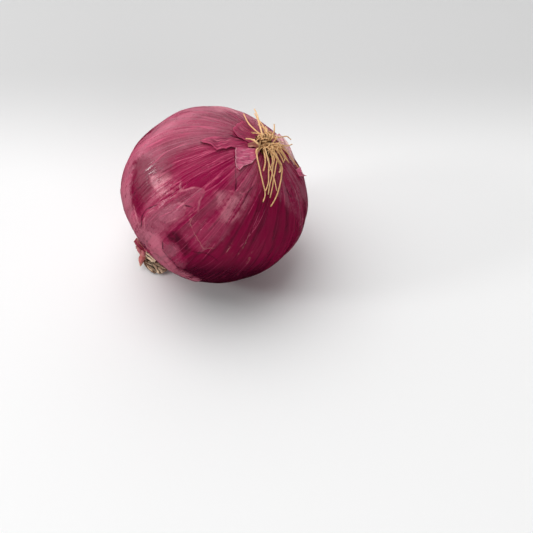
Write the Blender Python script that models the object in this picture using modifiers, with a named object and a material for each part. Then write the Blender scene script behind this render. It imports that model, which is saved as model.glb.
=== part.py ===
"""A whole red onion lying on a table, leaning on its dry neck with its root tuft uppermost.

Each piece is modelled upright round the onion's own axis, root end up, in metres. An empty
on that axis leans them all over, and the table plane z = 0 cuts the spots that they rest on.
Places on the bulb are given by longitude round the axis and by colatitude from the root pole.
"""

import math

import bmesh
import bpy
import numpy as np

# Driving dimensions of the bulb
ROOT_REACH = 0.0415
NECK_REACH = 0.0440
LONG_RADIUS = 0.0467
SHORT_RADIUS = 0.0425
OVAL_TURN = math.radians(14.0)
LEAN = math.radians(36.5)
CENTRE_HEIGHT = 0.0441

# The drawn-out shoulder, the two seats and the relief of the skin
SHOULDER_RISE = 0.0062
SHOULDER_SPREAD = math.radians(15.0)
ROOT_SEAT = 0.0408
NECK_SEAT = 0.0470
RIB_COUNT = 18
RIB_HEIGHT = 0.00022
LUMP_HEIGHT = 0.0005
BULB_SEGMENTS = 72
BULB_RINGS = 38

# The neck, bent a little along the table
BEND_START = 0.0440
BEND_RATE = 28.0

# Clearance between touching pieces, and the thickness of dry skin
GAP = 0.0003
SKIN = 0.0007

# The root plate and its rootlets
PLATE_RADIUS = 0.0064
PLATE_HEIGHT = 0.0021
ROOTLET_RADIUS = 0.00045
ROOTLET_POINTS = 10
ROOTLET_TIP_SHARE = 0.65
ROOTLET_START = 0.0006
ROOT_SEED = 11
# Each spray: longitude, its spread, how many, least and greatest reach in degrees of colatitude,
# lift of the arch and height of the tip over the skin in metres.
SPRAYS = (
    (-74, 9, 14, 27, 43, 0.0030, 0.0012),
    (-54, 13, 8, 17, 33, 0.0034, 0.0014),
    (-14, 13, 4, 14, 33, 0.0026, 0.0026),
    (28, 20, 5, 13, 22, 0.0050, 0.0044),
    (92, 16, 4, 14, 22, 0.0050, 0.0040),
    (119, 13, 5, 18, 33, 0.0034, 0.0034),
    (186, 26, 4, 10, 16, 0.0022, 0.0030),
    (-116, 14, 3, 12, 18, 0.0020, 0.0030),
)

# Torn scraps of dry outer skin. Each edge is a list of places on the flat map round the root,
# in degrees: colatitude times the cosine and the sine of the longitude.
SCRAPS = {
    "skin_tongue": {
        "edges": (
            ((-12.0, -8.2), (-19.3, -11.8), (-25.0, -13.9), (-32.4, -16.7), (-37.7, -13.8), (-42.6, -12.0)),
            ((-12.0, -3.4), (-16.3, -3.2), (-23.5, -4.0), (-34.1, -6.2), (-39.8, -8.4), (-42.7, -10.4)),
        ),
        "lift": 0.0007,
    },
    "skin_shoulder": {
        "edges": (
            ((-11.4, 1.0), (-16.0, -0.6), (-22.2, -0.2)),
            ((-6.0, 10.4), (-10.5, 14.4), (-17.5, 15.0)),
        ),
        "lift": 0.0012,
    },
    "skin_fold": {
        "edges": (
            ((-19.6, -15.4), (-18.7, -21.6), (-17.0, -26.8)),
            ((-8.6, -11.0), (-8.0, -15.6), (-9.6, -21.8)),
        ),
        "lift": 0.0010,
    },
    "skin_collar": {
        "edges": (
            ((12.6, -1.0), (22.0, 0.0), (33.6, 4.6)),
            ((6.6, 11.4), (12.0, 18.6), (17.6, 28.0)),
        ),
        "lift": 0.0011,
    },
    "skin_flake": {
        "edges": (
            ((29.6, -7.0), (34.2, -9.0), (38.4, -9.6)),
            ((29.8, -2.6), (34.4, -4.0), (39.2, -5.6)),
        ),
        "lift": 0.0018,
    },
}
SCRAP_CELLS = (6, 14)
FRAY = 0.45

# The dry neck: a stub of shrivelled leaf bases inside a torn collar of red scales
STUB_RADIUS = 0.0074
COLLAR_INNER = 0.0082
COLLAR_OUTER = 0.0091
COLLAR_HEIGHT = 0.0026
NECK_SEED = 6
LEAF_COUNT = 14
SCALE_COUNT = 7
BLADE_CELLS = (4, 6)

# The torn side of the neck, where the scales leave a gap and the inner leaves spread out
TORN_LON = math.radians(-80.0)
TORN_WIDTH = math.radians(150.0)
SPREAD_REACH = math.radians(36.0)

# Colours: red, green, blue, then roughness
SKIN_RED = ((0.36, 0.03, 0.09), 0.35)
SCRAP_RED = ((0.42, 0.06, 0.14), 0.5)
STRAW = ((0.60, 0.40, 0.16), 0.75)
DRY_TAN = ((0.40, 0.28, 0.16), 0.85)
SCALE_RED = ((0.46, 0.12, 0.14), 0.6)


def clear_scene():
    """Empties the file that the script runs from."""
    for old in list(bpy.data.objects):
        bpy.data.objects.remove(old, do_unlink=True)


def new_collection(name):
    made = bpy.data.collections.new(name)
    bpy.context.scene.collection.children.link(made)
    return made


def new_material(name, finish):
    colour, roughness = finish
    made = bpy.data.materials.new(name)
    made.use_nodes = True
    shader = made.node_tree.nodes["Principled BSDF"]
    shader.inputs["Base Color"].default_value = (*colour, 1.0)
    shader.inputs["Roughness"].default_value = roughness
    shader.inputs["Metallic"].default_value = 0.0
    made.diffuse_color = (*colour, 1.0)
    return made


def smooth_step(value):
    """Rises from 0 to 1 with level ends as value goes from 0 to 1."""
    held = np.clip(value, 0.0, 1.0)
    return held * held * (3.0 - 2.0 * held)


def bulb_radius(lon, colat):
    """Distance from the bulb's centre to its skin: an oval ellipsoid, drawn out at the neck,
    with low lumps and with ribs that run from root to neck."""
    axial = np.where(np.cos(colat) > 0.0, ROOT_REACH, NECK_REACH)
    across = np.sin(colat)
    form = 1.0 / np.sqrt(
        (across * np.cos(lon - OVAL_TURN) / LONG_RADIUS) ** 2
        + (across * np.sin(lon - OVAL_TURN) / SHORT_RADIUS) ** 2
        + (np.cos(colat) / axial) ** 2
    )
    shoulder = SHOULDER_RISE * np.exp(-(((math.pi - colat) / SHOULDER_SPREAD) ** 2))
    ribs = RIB_HEIGHT * across**2 * np.cos(RIB_COUNT * lon + 0.7 * np.sin(3.0 * lon + 1.0))
    lumps = LUMP_HEIGHT * across**2 * np.sin(2.0 * lon + 2.6 * colat - 0.4)
    return form + shoulder + ribs + lumps


def on_bulb(lon, colat, above):
    """The point over the skin at a longitude and colatitude, as an array of rows."""
    reach = bulb_radius(lon, colat) + above
    across = reach * np.sin(colat)
    return np.stack([across * np.cos(lon), across * np.sin(lon), reach * np.cos(colat)], axis=-1)


def bend_neck(points):
    """Bends the neck away from the table, by the square of the distance along it."""
    depth = np.maximum(-points[:, 2] - BEND_START, 0.0)
    bent = points.copy()
    bent[:, 0] -= BEND_RATE * depth**2
    return bent


def read_points(mesh):
    flat = np.empty(len(mesh.vertices) * 3)
    mesh.vertices.foreach_get("co", flat)
    return flat.reshape(-1, 3)


def write_points(mesh, points):
    mesh.vertices.foreach_set("co", points.ravel())
    mesh.update()


def place(name, mesh, material, collection, axis):
    """Makes an object of the mesh, hung on the leaning axis."""
    made = bpy.data.objects.new(name, mesh)
    made.data.materials.append(material)
    collection.objects.link(made)
    made.parent = axis
    return made


def sphere_mesh(name, segments, rings):
    built = bmesh.new()
    bmesh.ops.create_uvsphere(built, u_segments=segments, v_segments=rings, radius=1.0)
    mesh = bpy.data.meshes.new(name)
    built.to_mesh(mesh)
    built.free()
    return mesh


def grid_sheet(name, cells, shape_of, outward_from):
    """An open grid whose points are shape_of(s, t), with s and t from 0 to 1, facing away from
    outward_from, a function that gives the nearest inner point of each point."""
    built = bmesh.new()
    bmesh.ops.create_grid(built, x_segments=cells[0], y_segments=cells[1], size=1.0)
    mesh = bpy.data.meshes.new(name)
    built.to_mesh(mesh)
    built.free()
    places = (read_points(mesh) + 1.0) / 2.0
    points = shape_of(places[:, 0], places[:, 1])
    write_points(mesh, points)
    outward = points - outward_from(points)
    normals = np.array([face.normal for face in mesh.polygons])
    middles = np.array([outward[list(face.vertices)].mean(axis=0) for face in mesh.polygons])
    if np.sum(normals * middles) < 0.0:
        mesh.flip_normals()
    return mesh


def thicken(sheet, thickness):
    """Gives an open sheet its wall, outwards."""
    wall = sheet.modifiers.new("wall", "SOLIDIFY")
    wall.thickness = thickness
    wall.offset = 1.0
    wall.use_even_offset = True


def apply_modifiers(thing):
    """Replaces the object's data by its evaluated mesh."""
    bpy.context.view_layer.update()
    graph = bpy.context.evaluated_depsgraph_get()
    thing.data = bpy.data.meshes.new_from_object(thing.evaluated_get(graph))
    thing.modifiers.clear()


def fuse(base, collection, solver="EXACT"):
    """Joins a collection's objects to base by one Boolean union, then removes them."""
    joined = base.modifiers.new("fuse", "BOOLEAN")
    joined.operation = "UNION"
    joined.operand_type = "COLLECTION"
    joined.collection = collection
    joined.solver = solver
    apply_modifiers(base)
    for used in list(collection.objects):
        bpy.data.objects.remove(used, do_unlink=True)
    bpy.data.collections.remove(collection)


def make_table_cutter(collection):
    """A block whose top is the table plane."""
    bpy.ops.mesh.primitive_cube_add(size=0.2, location=(0.0, 0.0, -0.1))
    cutter = bpy.context.active_object
    cutter.name = "table_cutter"
    for holder in list(cutter.users_collection):
        holder.objects.unlink(cutter)
    collection.objects.link(cutter)
    cutter.hide_render = True
    cutter.display_type = "WIRE"
    return cutter


def cut_by_table(thing, cutter, solver="EXACT"):
    cut = thing.modifiers.new("rest on the table", "BOOLEAN")
    cut.operation = "DIFFERENCE"
    cut.object = cutter
    cut.solver = solver


def make_bulb(material, collection, axis):
    """The bulb in its outer skin, with flat seats for the root plate and the neck."""
    mesh = sphere_mesh("bulb", BULB_SEGMENTS, BULB_RINGS)
    unit = read_points(mesh)
    lon = np.arctan2(unit[:, 1], unit[:, 0])
    colat = np.arccos(np.clip(unit[:, 2], -1.0, 1.0))
    points = on_bulb(lon, colat, 0.0)
    points[:, 2] = np.clip(points[:, 2], -NECK_SEAT, ROOT_SEAT)
    write_points(mesh, bend_neck(points))
    mesh.shade_smooth()
    return place("bulb", mesh, material, collection, axis)


def make_root_plate(material, collection, axis):
    """The corky plate, turned from a low domed profile, that all the rootlets grow from."""
    foot = ROOT_SEAT + GAP
    profile = (
        (0.0, foot + PLATE_HEIGHT),
        (0.45 * PLATE_RADIUS, foot + 0.92 * PLATE_HEIGHT),
        (0.85 * PLATE_RADIUS, foot + 0.55 * PLATE_HEIGHT),
        (PLATE_RADIUS, foot + 0.18 * PLATE_HEIGHT),
        (0.94 * PLATE_RADIUS, foot),
        (0.0, foot),
    )
    mesh = bpy.data.meshes.new("root_tuft")
    edges = [(k, k + 1) for k in range(len(profile) - 1)]
    mesh.from_pydata([(x, 0.0, z) for x, z in profile], edges, [])
    plate = place("root_tuft", mesh, material, collection, axis)
    turn = plate.modifiers.new("turn", "SCREW")
    turn.steps = 20
    turn.render_steps = 20
    turn.use_merge_vertices = True
    turn.merge_threshold = 0.00001
    return plate


def rootlet_path(rng, spray):
    """One rootlet: out of the plate, up in an arch, then down to lie just clear of the skin."""
    lon, spread, _, least, most, lift, tip_height = spray
    t = np.linspace(0.0, 1.0, ROOTLET_POINTS)
    start_lon = lon + rng.uniform(-3.2, 3.2) * spread
    end_lon = lon + rng.uniform(-1.0, 1.0) * spread
    start = rng.uniform(1.6, 6.8)
    reach = rng.uniform(least, most)
    wave = rng.uniform(1.5, 4.0) * np.sin(rng.uniform(4.0, 8.0) * t + rng.uniform(0.0, 6.3)) * t
    map_x = (1.0 - t) * start * math.cos(math.radians(start_lon))
    map_y = (1.0 - t) * start * math.sin(math.radians(start_lon))
    drawn = t**1.15 * reach
    map_x = map_x + drawn * np.cos(np.radians(end_lon + wave))
    map_y = map_y + drawn * np.sin(np.radians(end_lon + wave))
    rise = ROOTLET_START + (tip_height - ROOTLET_START) * smooth_step(t / 0.2)
    height = rise + lift * rng.uniform(0.5, 1.1) * np.sin(math.pi * t**0.8) ** 1.3
    colat = np.radians(np.hypot(map_x, map_y))
    return on_bulb(np.arctan2(map_y, map_x), colat, height)


def make_rootlet(path, radius, name, collection, axis):
    """A tapering tube along the path, made a closed mesh."""
    curve = bpy.data.curves.new(name, "CURVE")
    curve.dimensions = "3D"
    curve.bevel_depth = radius
    curve.bevel_resolution = 0
    curve.use_fill_caps = True
    line = curve.splines.new("POLY")
    line.points.add(len(path) - 1)
    line.points.foreach_set("co", np.column_stack([path, np.ones(len(path))]).ravel())
    line.points.foreach_set("radius", np.linspace(1.0, ROOTLET_TIP_SHARE, len(path)))
    tube = bpy.data.objects.new(name, curve)
    collection.objects.link(tube)
    bpy.context.view_layer.update()
    graph = bpy.context.evaluated_depsgraph_get()
    mesh = bpy.data.meshes.new_from_object(tube.evaluated_get(graph))
    bpy.data.objects.remove(tube, do_unlink=True)
    built = bmesh.new()
    built.from_mesh(mesh)
    bmesh.ops.remove_doubles(built, verts=built.verts, dist=0.00002)
    built.to_mesh(mesh)
    built.free()
    solid = bpy.data.objects.new(name, mesh)
    collection.objects.link(solid)
    solid.parent = axis
    return solid


def make_root_tuft(material, collection, axis):
    """The plate with every rootlet fused to it, as one body."""
    plate = make_root_plate(material, collection, axis)
    rootlets = new_collection("rootlets")
    rng = np.random.default_rng(ROOT_SEED)
    for spray in SPRAYS:
        for _ in range(spray[2]):
            path = rootlet_path(rng, spray)
            radius = ROOTLET_RADIUS * rng.uniform(0.85, 1.15)
            make_rootlet(path, radius, "rootlet", rootlets, axis)
    fuse(plate, rootlets)
    return plate


def along_edge(edge, t):
    """Places along a list of map points, at equal steps of t from its first to its last."""
    knots = np.linspace(0.0, 1.0, len(edge))
    table = np.array(edge)
    return np.stack([np.interp(t, knots, table[:, 0]), np.interp(t, knots, table[:, 1])], axis=-1)


def make_scrap(name, scrap, material, collection, axis):
    """A torn scrap of dry skin: a sheet ruled between two edges, lifting a little at its free end."""
    first, second = scrap["edges"]
    lift = scrap["lift"]

    def shape_of(s, t):
        near, far = along_edge(first, t), along_edge(second, t)
        width = np.linalg.norm(far - near, axis=1)
        along = np.linalg.norm(near + far, axis=1) / 2.0
        frayed = s + (2.0 * s - 1.0) * FRAY * np.sin(1.9 * along + 2.0 * s) / width
        place_on_map = near + (far - near) * frayed[:, None]
        lon = np.arctan2(place_on_map[:, 1], place_on_map[:, 0])
        colat = np.radians(np.hypot(place_on_map[:, 0], place_on_map[:, 1]))
        ripple = 0.3 * np.sin(7.0 * s + 5.0 * t) * t
        return on_bulb(lon, colat, GAP + lift * np.clip(t**2 + ripple, 0.0, None))

    mesh = grid_sheet(name, SCRAP_CELLS, shape_of, lambda points: points * 0.5)
    sheet = place(name, mesh, material, collection, axis)
    thicken(sheet, SKIN)
    return sheet


def make_blade(rng, name, collection, axis, lon, foot_radius, foot_depth, size):
    """A dry leaf or scale of the neck: it stands up from its foot, flares out and ends in a torn tip.
    size is its length, its width, how far it flares and how far its end curls back."""
    length, width, flare, curl = size
    notch = rng.uniform(0.1, 0.3)
    phase = rng.uniform(0.0, 6.3)

    def shape_of(s, t):
        side = 2.0 * s - 1.0
        torn = 1.0 - notch * (0.5 + 0.5 * np.cos(9.0 * s + phase)) * t
        out = foot_radius + flare * (t * torn) ** 1.6
        down = foot_depth + length * t * torn - curl * (t * torn) ** 3
        half = 0.5 * width * (1.0 - 0.55 * t**2)
        turn = lon + side * half / np.maximum(out, 0.5 * foot_radius)
        hollow = 0.25 * width * (side**2 - 0.5) * t * 0.5
        out = out + hollow
        return bend_neck(np.stack([out * np.cos(turn), out * np.sin(turn), -down], axis=-1))

    def towards_axis(points):
        centre = np.zeros_like(points)
        centre[:, 2] = points[:, 2]
        return bend_neck(centre)

    mesh = grid_sheet(name, BLADE_CELLS, shape_of, towards_axis)
    blade = bpy.data.objects.new(name, mesh)
    collection.objects.link(blade)
    blade.parent = axis
    thicken(blade, SKIN)
    return blade


def turned_solid(name, profile, steps, ring, material, collection, axis):
    """A stub, or a ring whose profile closes on itself, turned and then bent with the neck."""
    mesh = bpy.data.meshes.new(name)
    edges = [(k, k + 1) for k in range(len(profile) - 1)]
    if ring:
        edges.append((len(profile) - 1, 0))
    mesh.from_pydata([(x, 0.0, z) for x, z in profile], edges, [])
    solid = place(name, mesh, material, collection, axis)
    turn = solid.modifiers.new("turn", "SCREW")
    turn.steps = steps
    turn.render_steps = steps
    turn.use_merge_vertices = True
    turn.merge_threshold = 0.00001
    apply_modifiers(solid)
    write_points(solid.data, bend_neck(read_points(solid.data)))
    return solid


def make_neck_core(material, collection, axis, cutter):
    """The shrivelled leaf bases in the middle of the neck, on one short stub."""
    foot = NECK_SEAT + GAP
    profile = (
        (0.0, -foot),
        (STUB_RADIUS, -foot),
        (0.95 * STUB_RADIUS, -foot - 0.0020),
        (0.62 * STUB_RADIUS, -foot - 0.0036),
        (0.0, -foot - 0.0042),
    )
    core = turned_solid("neck_core", profile, 20, False, material, collection, axis)
    leaves = new_collection("neck leaves")
    rng = np.random.default_rng(NECK_SEED)
    for k in range(LEAF_COUNT):
        lon = TORN_LON + math.tau * (k + rng.uniform(-0.25, 0.25)) / LEAF_COUNT
        foot_radius = (0.0034 if k % 2 else 0.0054) + rng.uniform(-0.0004, 0.0004)
        spreads = abs(math.remainder(lon - TORN_LON, math.tau)) < SPREAD_REACH
        size = (
            rng.uniform(0.0065, 0.0094),
            rng.uniform(0.0040, 0.0054),
            rng.uniform(0.0048, 0.0070) if spreads else rng.uniform(0.0003, 0.0012),
            rng.uniform(0.0, 0.0020),
        )
        make_blade(rng, "leaf", leaves, axis, lon, foot_radius, foot + 0.0010, size)
    fuse(core, leaves, "MANIFOLD")
    cut_by_table(core, cutter, "MANIFOLD")
    return core


def make_neck_scales(material, collection, axis, cutter):
    """The torn ends of the red skin round the neck, on one collar."""
    foot = NECK_SEAT + GAP
    profile = (
        (COLLAR_INNER, -foot),
        (COLLAR_OUTER, -foot),
        (COLLAR_OUTER, -foot - COLLAR_HEIGHT),
        (COLLAR_INNER, -foot - COLLAR_HEIGHT),
    )
    collar = turned_solid("neck_scales", profile, 28, True, material, collection, axis)
    scales = new_collection("neck scale tips")
    rng = np.random.default_rng(NECK_SEED + 1)
    for k in range(SCALE_COUNT):
        share = (k + rng.uniform(-0.15, 0.15)) / (SCALE_COUNT - 1)
        lon = TORN_LON + 0.5 * TORN_WIDTH + (math.tau - TORN_WIDTH) * share
        size = (
            rng.uniform(0.0040, 0.0066),
            rng.uniform(0.0058, 0.0078),
            rng.uniform(0.0022, 0.0048),
            rng.uniform(0.0, 0.0020),
        )
        make_blade(rng, "scale", scales, axis, lon, COLLAR_INNER + 0.0001, foot + 0.0014, size)
    fuse(collar, scales, "MANIFOLD")
    cut_by_table(collar, cutter, "MANIFOLD")
    return collar


def main():
    clear_scene()
    onion = new_collection("onion")
    helpers = new_collection("cutters")
    axis = bpy.data.objects.new("onion_axis", None)
    onion.objects.link(axis)
    axis.location = (0.0, 0.0, CENTRE_HEIGHT)
    axis.rotation_euler = (0.0, LEAN, 0.0)

    skin = new_material("red_skin", SKIN_RED)
    scrap_skin = new_material("dry_scrap", SCRAP_RED)
    straw = new_material("rootlet_straw", STRAW)
    tan = new_material("dry_leaf", DRY_TAN)
    scale_skin = new_material("neck_scale", SCALE_RED)

    cutter = make_table_cutter(helpers)
    bulb = make_bulb(skin, onion, axis)
    cut_by_table(bulb, cutter)
    make_root_tuft(straw, onion, axis)
    for name, scrap in SCRAPS.items():
        make_scrap(name, scrap, scrap_skin, onion, axis)
    make_neck_core(tan, onion, axis, cutter)
    make_neck_scales(scale_skin, onion, axis, cutter)


main()
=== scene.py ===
# %% [markdown]
# # A red onion, dressed over its solid model
#
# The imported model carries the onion's real sizes: the bulb lies on its belly with the root end up
# and the neck on the table. This lesson gives it its looks: papery skin with veins and torn scraps,
# straw-coloured rootlets, and a shrivelled neck. Everything is in metres in the model's own axes,
# so a new piece is computed where it belongs and its object never moves.

# %% Load the model
import math

import bpy
import numpy as np
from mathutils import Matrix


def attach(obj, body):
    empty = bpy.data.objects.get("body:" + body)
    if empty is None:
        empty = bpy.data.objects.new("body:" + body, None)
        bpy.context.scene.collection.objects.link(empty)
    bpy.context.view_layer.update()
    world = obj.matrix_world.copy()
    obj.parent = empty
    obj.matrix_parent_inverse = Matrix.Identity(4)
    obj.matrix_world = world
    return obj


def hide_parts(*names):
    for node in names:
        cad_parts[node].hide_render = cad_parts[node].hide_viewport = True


MM = 0.001
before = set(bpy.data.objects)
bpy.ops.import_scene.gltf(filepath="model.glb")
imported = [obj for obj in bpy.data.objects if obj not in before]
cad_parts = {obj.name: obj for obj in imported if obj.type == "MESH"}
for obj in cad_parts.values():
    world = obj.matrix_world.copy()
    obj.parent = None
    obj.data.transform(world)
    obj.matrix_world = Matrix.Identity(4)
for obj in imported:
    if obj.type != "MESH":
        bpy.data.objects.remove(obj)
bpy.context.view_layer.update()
print("solid pieces:", ", ".join(sorted(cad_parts)))

# %% [markdown]
# ## Small tools for nodes
#
# A material here is a stack of painted layers. These helpers keep each layer to one line: one adds
# a node and fills its sockets, and the others are the moves that every layer needs, which are to
# calculate, to fade between two values and to lay colours over one another.

# %% Node helpers
def add_node(tree, kind, values=None, **settings):
    """Adds a node, sets its settings, and fills or links its inputs from a dictionary."""
    node = tree.nodes.new(kind)
    for key, value in settings.items():
        setattr(node, key, value)
    for key, value in (values or {}).items():
        socket = node.inputs[key]
        if isinstance(value, bpy.types.NodeSocket):
            tree.links.new(value, socket)
        else:
            socket.default_value = value
    return node


def calc(tree, operation, first, *others):
    """Math nodes in a chain: the operation on the first value and on each other value in turn."""
    for other in others or (0.0,):
        first = add_node(tree, "ShaderNodeMath", {0: first, 1: other}, operation=operation).outputs[0]
    return first


def fade(tree, value, start, end, low=0.0, high=1.0):
    """Goes smoothly from low to high as value goes from start to end."""
    values = {"Value": value, "From Min": start, "From Max": end, "To Min": low, "To Max": high}
    return add_node(tree, "ShaderNodeMapRange", values, interpolation_type="SMOOTHSTEP").outputs["Result"]


def over(tree, below, above, mask):
    """Lays one colour over another where the mask is 1."""
    pair = {6: below, 7: above}
    pair = {key: (*value, 1.0) if isinstance(value, tuple) else value for key, value in pair.items()}
    return add_node(tree, "ShaderNodeMix", {0: mask, **pair}, data_type="RGBA").outputs[2]


def coats(tree, colour, *pairs):
    """Lays several colours over one in turn, each where its mask is 1."""
    for above, mask in pairs:
        colour = over(tree, colour, above, mask)
    return colour


def attribute(tree, name, output="Fac"):
    """Reads a value or a vector that the mesh stores at its points."""
    return add_node(tree, "ShaderNodeAttribute", attribute_name=name).outputs[output]


def noise(tree, place, scale, detail=2.0, **settings):
    """Cloudy noise around 0.5."""
    values = {"Vector": place, "Scale": scale, "Detail": detail}
    return add_node(tree, "ShaderNodeTexNoise", values, **settings).outputs["Fac"]


def object_place(tree):
    """Object coordinates, in metres."""
    return add_node(tree, "ShaderNodeTexCoord").outputs["Object"]


def new_material(name, **settings):
    """An empty material with its Principled shader, whose plain settings are fixed numbers."""
    material = bpy.data.materials.new(name)
    material.use_nodes = True
    shader = material.node_tree.nodes["Principled BSDF"]
    for key, value in settings.items():
        shader.inputs[key.replace("_", " ").title().replace("Ior", "IOR")].default_value = value
    return material, material.node_tree, shader


def finish_material(tree, shader, colour, roughness, height):
    """Links colour, roughness and a height in millimetres, as bump, to the shader."""
    tree.links.new(colour, shader.inputs["Base Color"])
    tree.links.new(roughness, shader.inputs["Roughness"])
    bump = add_node(tree, "ShaderNodeBump", {"Height": height, "Distance": MM, "Strength": 1.0})
    tree.links.new(bump.outputs["Normal"], shader.inputs["Normal"])


print("node helpers ready")


# %% [markdown]
# ## Camera and studio
#
# The picture looks down at 49 degrees through a long lens. The light is a white room that is bright
# at the back and dim in front, a small window low on the left, a broad one in front and a panel
# above. The surround and the panel keep the shadow faint. Only the small window is mirrored in the
# skin, so it alone makes the gloss.

# %% Camera
PICTURE_SIZE = 533
LENS = 85.0
SENSOR = 36.0
LOOK_DOWN = math.radians(49.0)
CAMERA_PLACE = np.array([0.0254, -0.4292, 0.4844])

camera = bpy.data.objects.new("camera", bpy.data.cameras.new("camera"))
camera.data.lens = LENS
camera.data.sensor_width = SENSOR
camera.location = CAMERA_PLACE
camera.rotation_euler = (math.pi / 2 - LOOK_DOWN, 0.0, 0.0)
bpy.context.scene.collection.objects.link(camera)
bpy.context.scene.camera = camera
print("camera height in mm:", round(CAMERA_PLACE[2] / MM))

# %% Surround
SURROUND_BRIGHT = 1.09
SURROUND_DIM = 0.05
BRIGHT_SIDE = (-0.45, 0.89, 0.0)
LOWEST_LIGHT = -0.1

bpy.context.scene.view_settings.view_transform = "Standard"
world = bpy.data.worlds.new("white room")
bpy.context.scene.world = world
world.use_nodes = True
room = world.node_tree
direction = add_node(room, "ShaderNodeTexCoord").outputs["Generated"]
towards = add_node(room, "ShaderNodeVectorMath", {0: direction, 1: BRIGHT_SIDE}, operation="DOT_PRODUCT")
brightness = fade(room, towards.outputs["Value"], -0.3, 0.8, SURROUND_DIM, SURROUND_BRIGHT)
height = add_node(room, "ShaderNodeSeparateXYZ", {"Vector": direction}).outputs["Z"]
brightness = calc(room, "MULTIPLY", brightness, calc(room, "GREATER_THAN", height, LOWEST_LIGHT))
background = room.nodes["Background"]
background.inputs["Color"].default_value = (1.0, 1.0, 1.0, 1.0)
room.links.new(brightness, background.inputs["Strength"])
print("surround from", SURROUND_DIM, "to", SURROUND_BRIGHT)

# %% Windows and panel
LIT_POINT = np.array([0.0, 0.0, 0.04])


def add_light(name, direction, distance, size, power, mirrored=True):
    """A square of soft light in a direction, turned towards the onion. One that isn't mirrored
    lights the skin but leaves no gloss on it."""
    light = bpy.data.lights.new(name, "AREA")
    light.shape = "SQUARE"
    light.size = size
    light.energy = power
    lamp = bpy.data.objects.new(name, light)
    outward = np.array(direction) / np.linalg.norm(direction)
    lamp.location = outward * distance + LIT_POINT
    turn = math.atan2(outward[1], outward[0]) + math.pi / 2
    lamp.rotation_euler = (math.acos(outward[2]), 0.0, turn)
    lamp.visible_camera = False
    lamp.visible_glossy = mirrored
    bpy.context.scene.collection.objects.link(lamp)


add_light("side window", (-0.89, -0.18, 0.41), 2.0, 0.36, 9.0)
add_light("front window", (0.31, -0.87, 0.38), 2.0, 1.0, 7.0, mirrored=False)
add_light("ceiling panel", (-0.25, 0.10, 1.0), 1.3, 1.4, 12.4, mirrored=False)

# %% [markdown]
# ## Table
#
# The onion lies on a white sweep that turns to light grey behind it, where it curves out of the
# light. A flat floor whose colour falls off with depth, as painted shade, does the same, and leaves
# room for the camera on every side.

# %% Table
TABLE_HALF = 2.5
TABLE_WHITE = (0.90, 0.90, 0.90)
TABLE_SHADED_GREY = (0.655, 0.655, 0.655)
TABLE_SHADE_FROM = 0.045
TABLE_SHADE_TO = 0.150

corners = [(-TABLE_HALF, -TABLE_HALF, 0), (TABLE_HALF, -TABLE_HALF, 0), (TABLE_HALF, TABLE_HALF, 0), (-TABLE_HALF, TABLE_HALF, 0)]
table_mesh = bpy.data.meshes.new("table")
table_mesh.from_pydata(corners, [], [(0, 1, 2, 3)])
table = bpy.data.objects.new("table", table_mesh)
bpy.context.scene.collection.objects.link(table)
table_paint, tree, shader = new_material("white table with painted shade", roughness=0.85, specular_ior_level=0.1)
depth = add_node(tree, "ShaderNodeSeparateXYZ", {"Vector": object_place(tree)}).outputs["Y"]
# painted shade: the table's white turns grey with depth, as the sweep behind falls out of the light
table_colour_and_shade = over(tree, TABLE_WHITE, TABLE_SHADED_GREY, fade(tree, depth, TABLE_SHADE_FROM, TABLE_SHADE_TO))
tree.links.new(table_colour_and_shade, shader.inputs["Base Color"])
table_mesh.materials.append(table_paint)
table.visible_glossy = False
print("table is white to", TABLE_SHADE_FROM, "m behind the onion's middle, and grey from", TABLE_SHADE_TO)

# %% [markdown]
# ## The bulb's form
#
# A bulb is nearly a ball, so its skin is written in polar form: a longitude round the axis, and a
# colatitude from the root (0) to the neck (180 degrees). The distance from the middle is that of an
# oval ellipsoid, drawn out at the neck, with faint lumps and ribs. These are the solid model's own
# numbers, so the skin lies where the solid's surface is, but for a few soft dents that are added.

# %% Form of the bulb
ROOT_REACH = 0.0415
NECK_REACH = 0.0440
LONG_RADIUS = 0.0467
SHORT_RADIUS = 0.0425
OVAL_TURN = math.radians(14.0)
LEAN = math.radians(36.5)
CENTRE = np.array([0.0, 0.0, 0.0441])
SHOULDER_RISE = 0.0062
SHOULDER_SPREAD = math.radians(15.0)
ROOT_SEAT = 0.0408
NECK_SEAT = 0.0470
BEND_START = 0.0440
BEND_RATE = 28.0
AXES = np.array([[math.cos(LEAN), 0, -math.sin(LEAN)], [0, 1, 0], [math.sin(LEAN), 0, math.cos(LEAN)]])


# soft dents and swellings of the outline: longitude, colatitude, spread in degrees, height in mm
DENTS = (
    (-152, 133, 16, -2.3), (157, 82, 18, -1.4), (-20, 66, 26, 1.0), (119, 43, 18, 0.7),
    (35, 38, 11, -0.7), (-119, 130, 14, -3.1),
)


def dents(lon, colat):
    """Sum of bell curves of the angle between a direction and each dent's direction."""
    total = 0.0
    for dent_lon, dent_colat, spread, height in DENTS:
        middle_lon, middle_colat = math.radians(dent_lon), math.radians(dent_colat)
        across = np.sin(colat) * math.sin(middle_colat) * np.cos(lon - middle_lon)
        cosine = np.cos(colat) * math.cos(middle_colat) + across
        angle = np.arccos(np.clip(cosine, -1.0, 1.0))
        total = total + height * MM * np.exp(-((angle / math.radians(spread)) ** 2))
    return total


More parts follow.
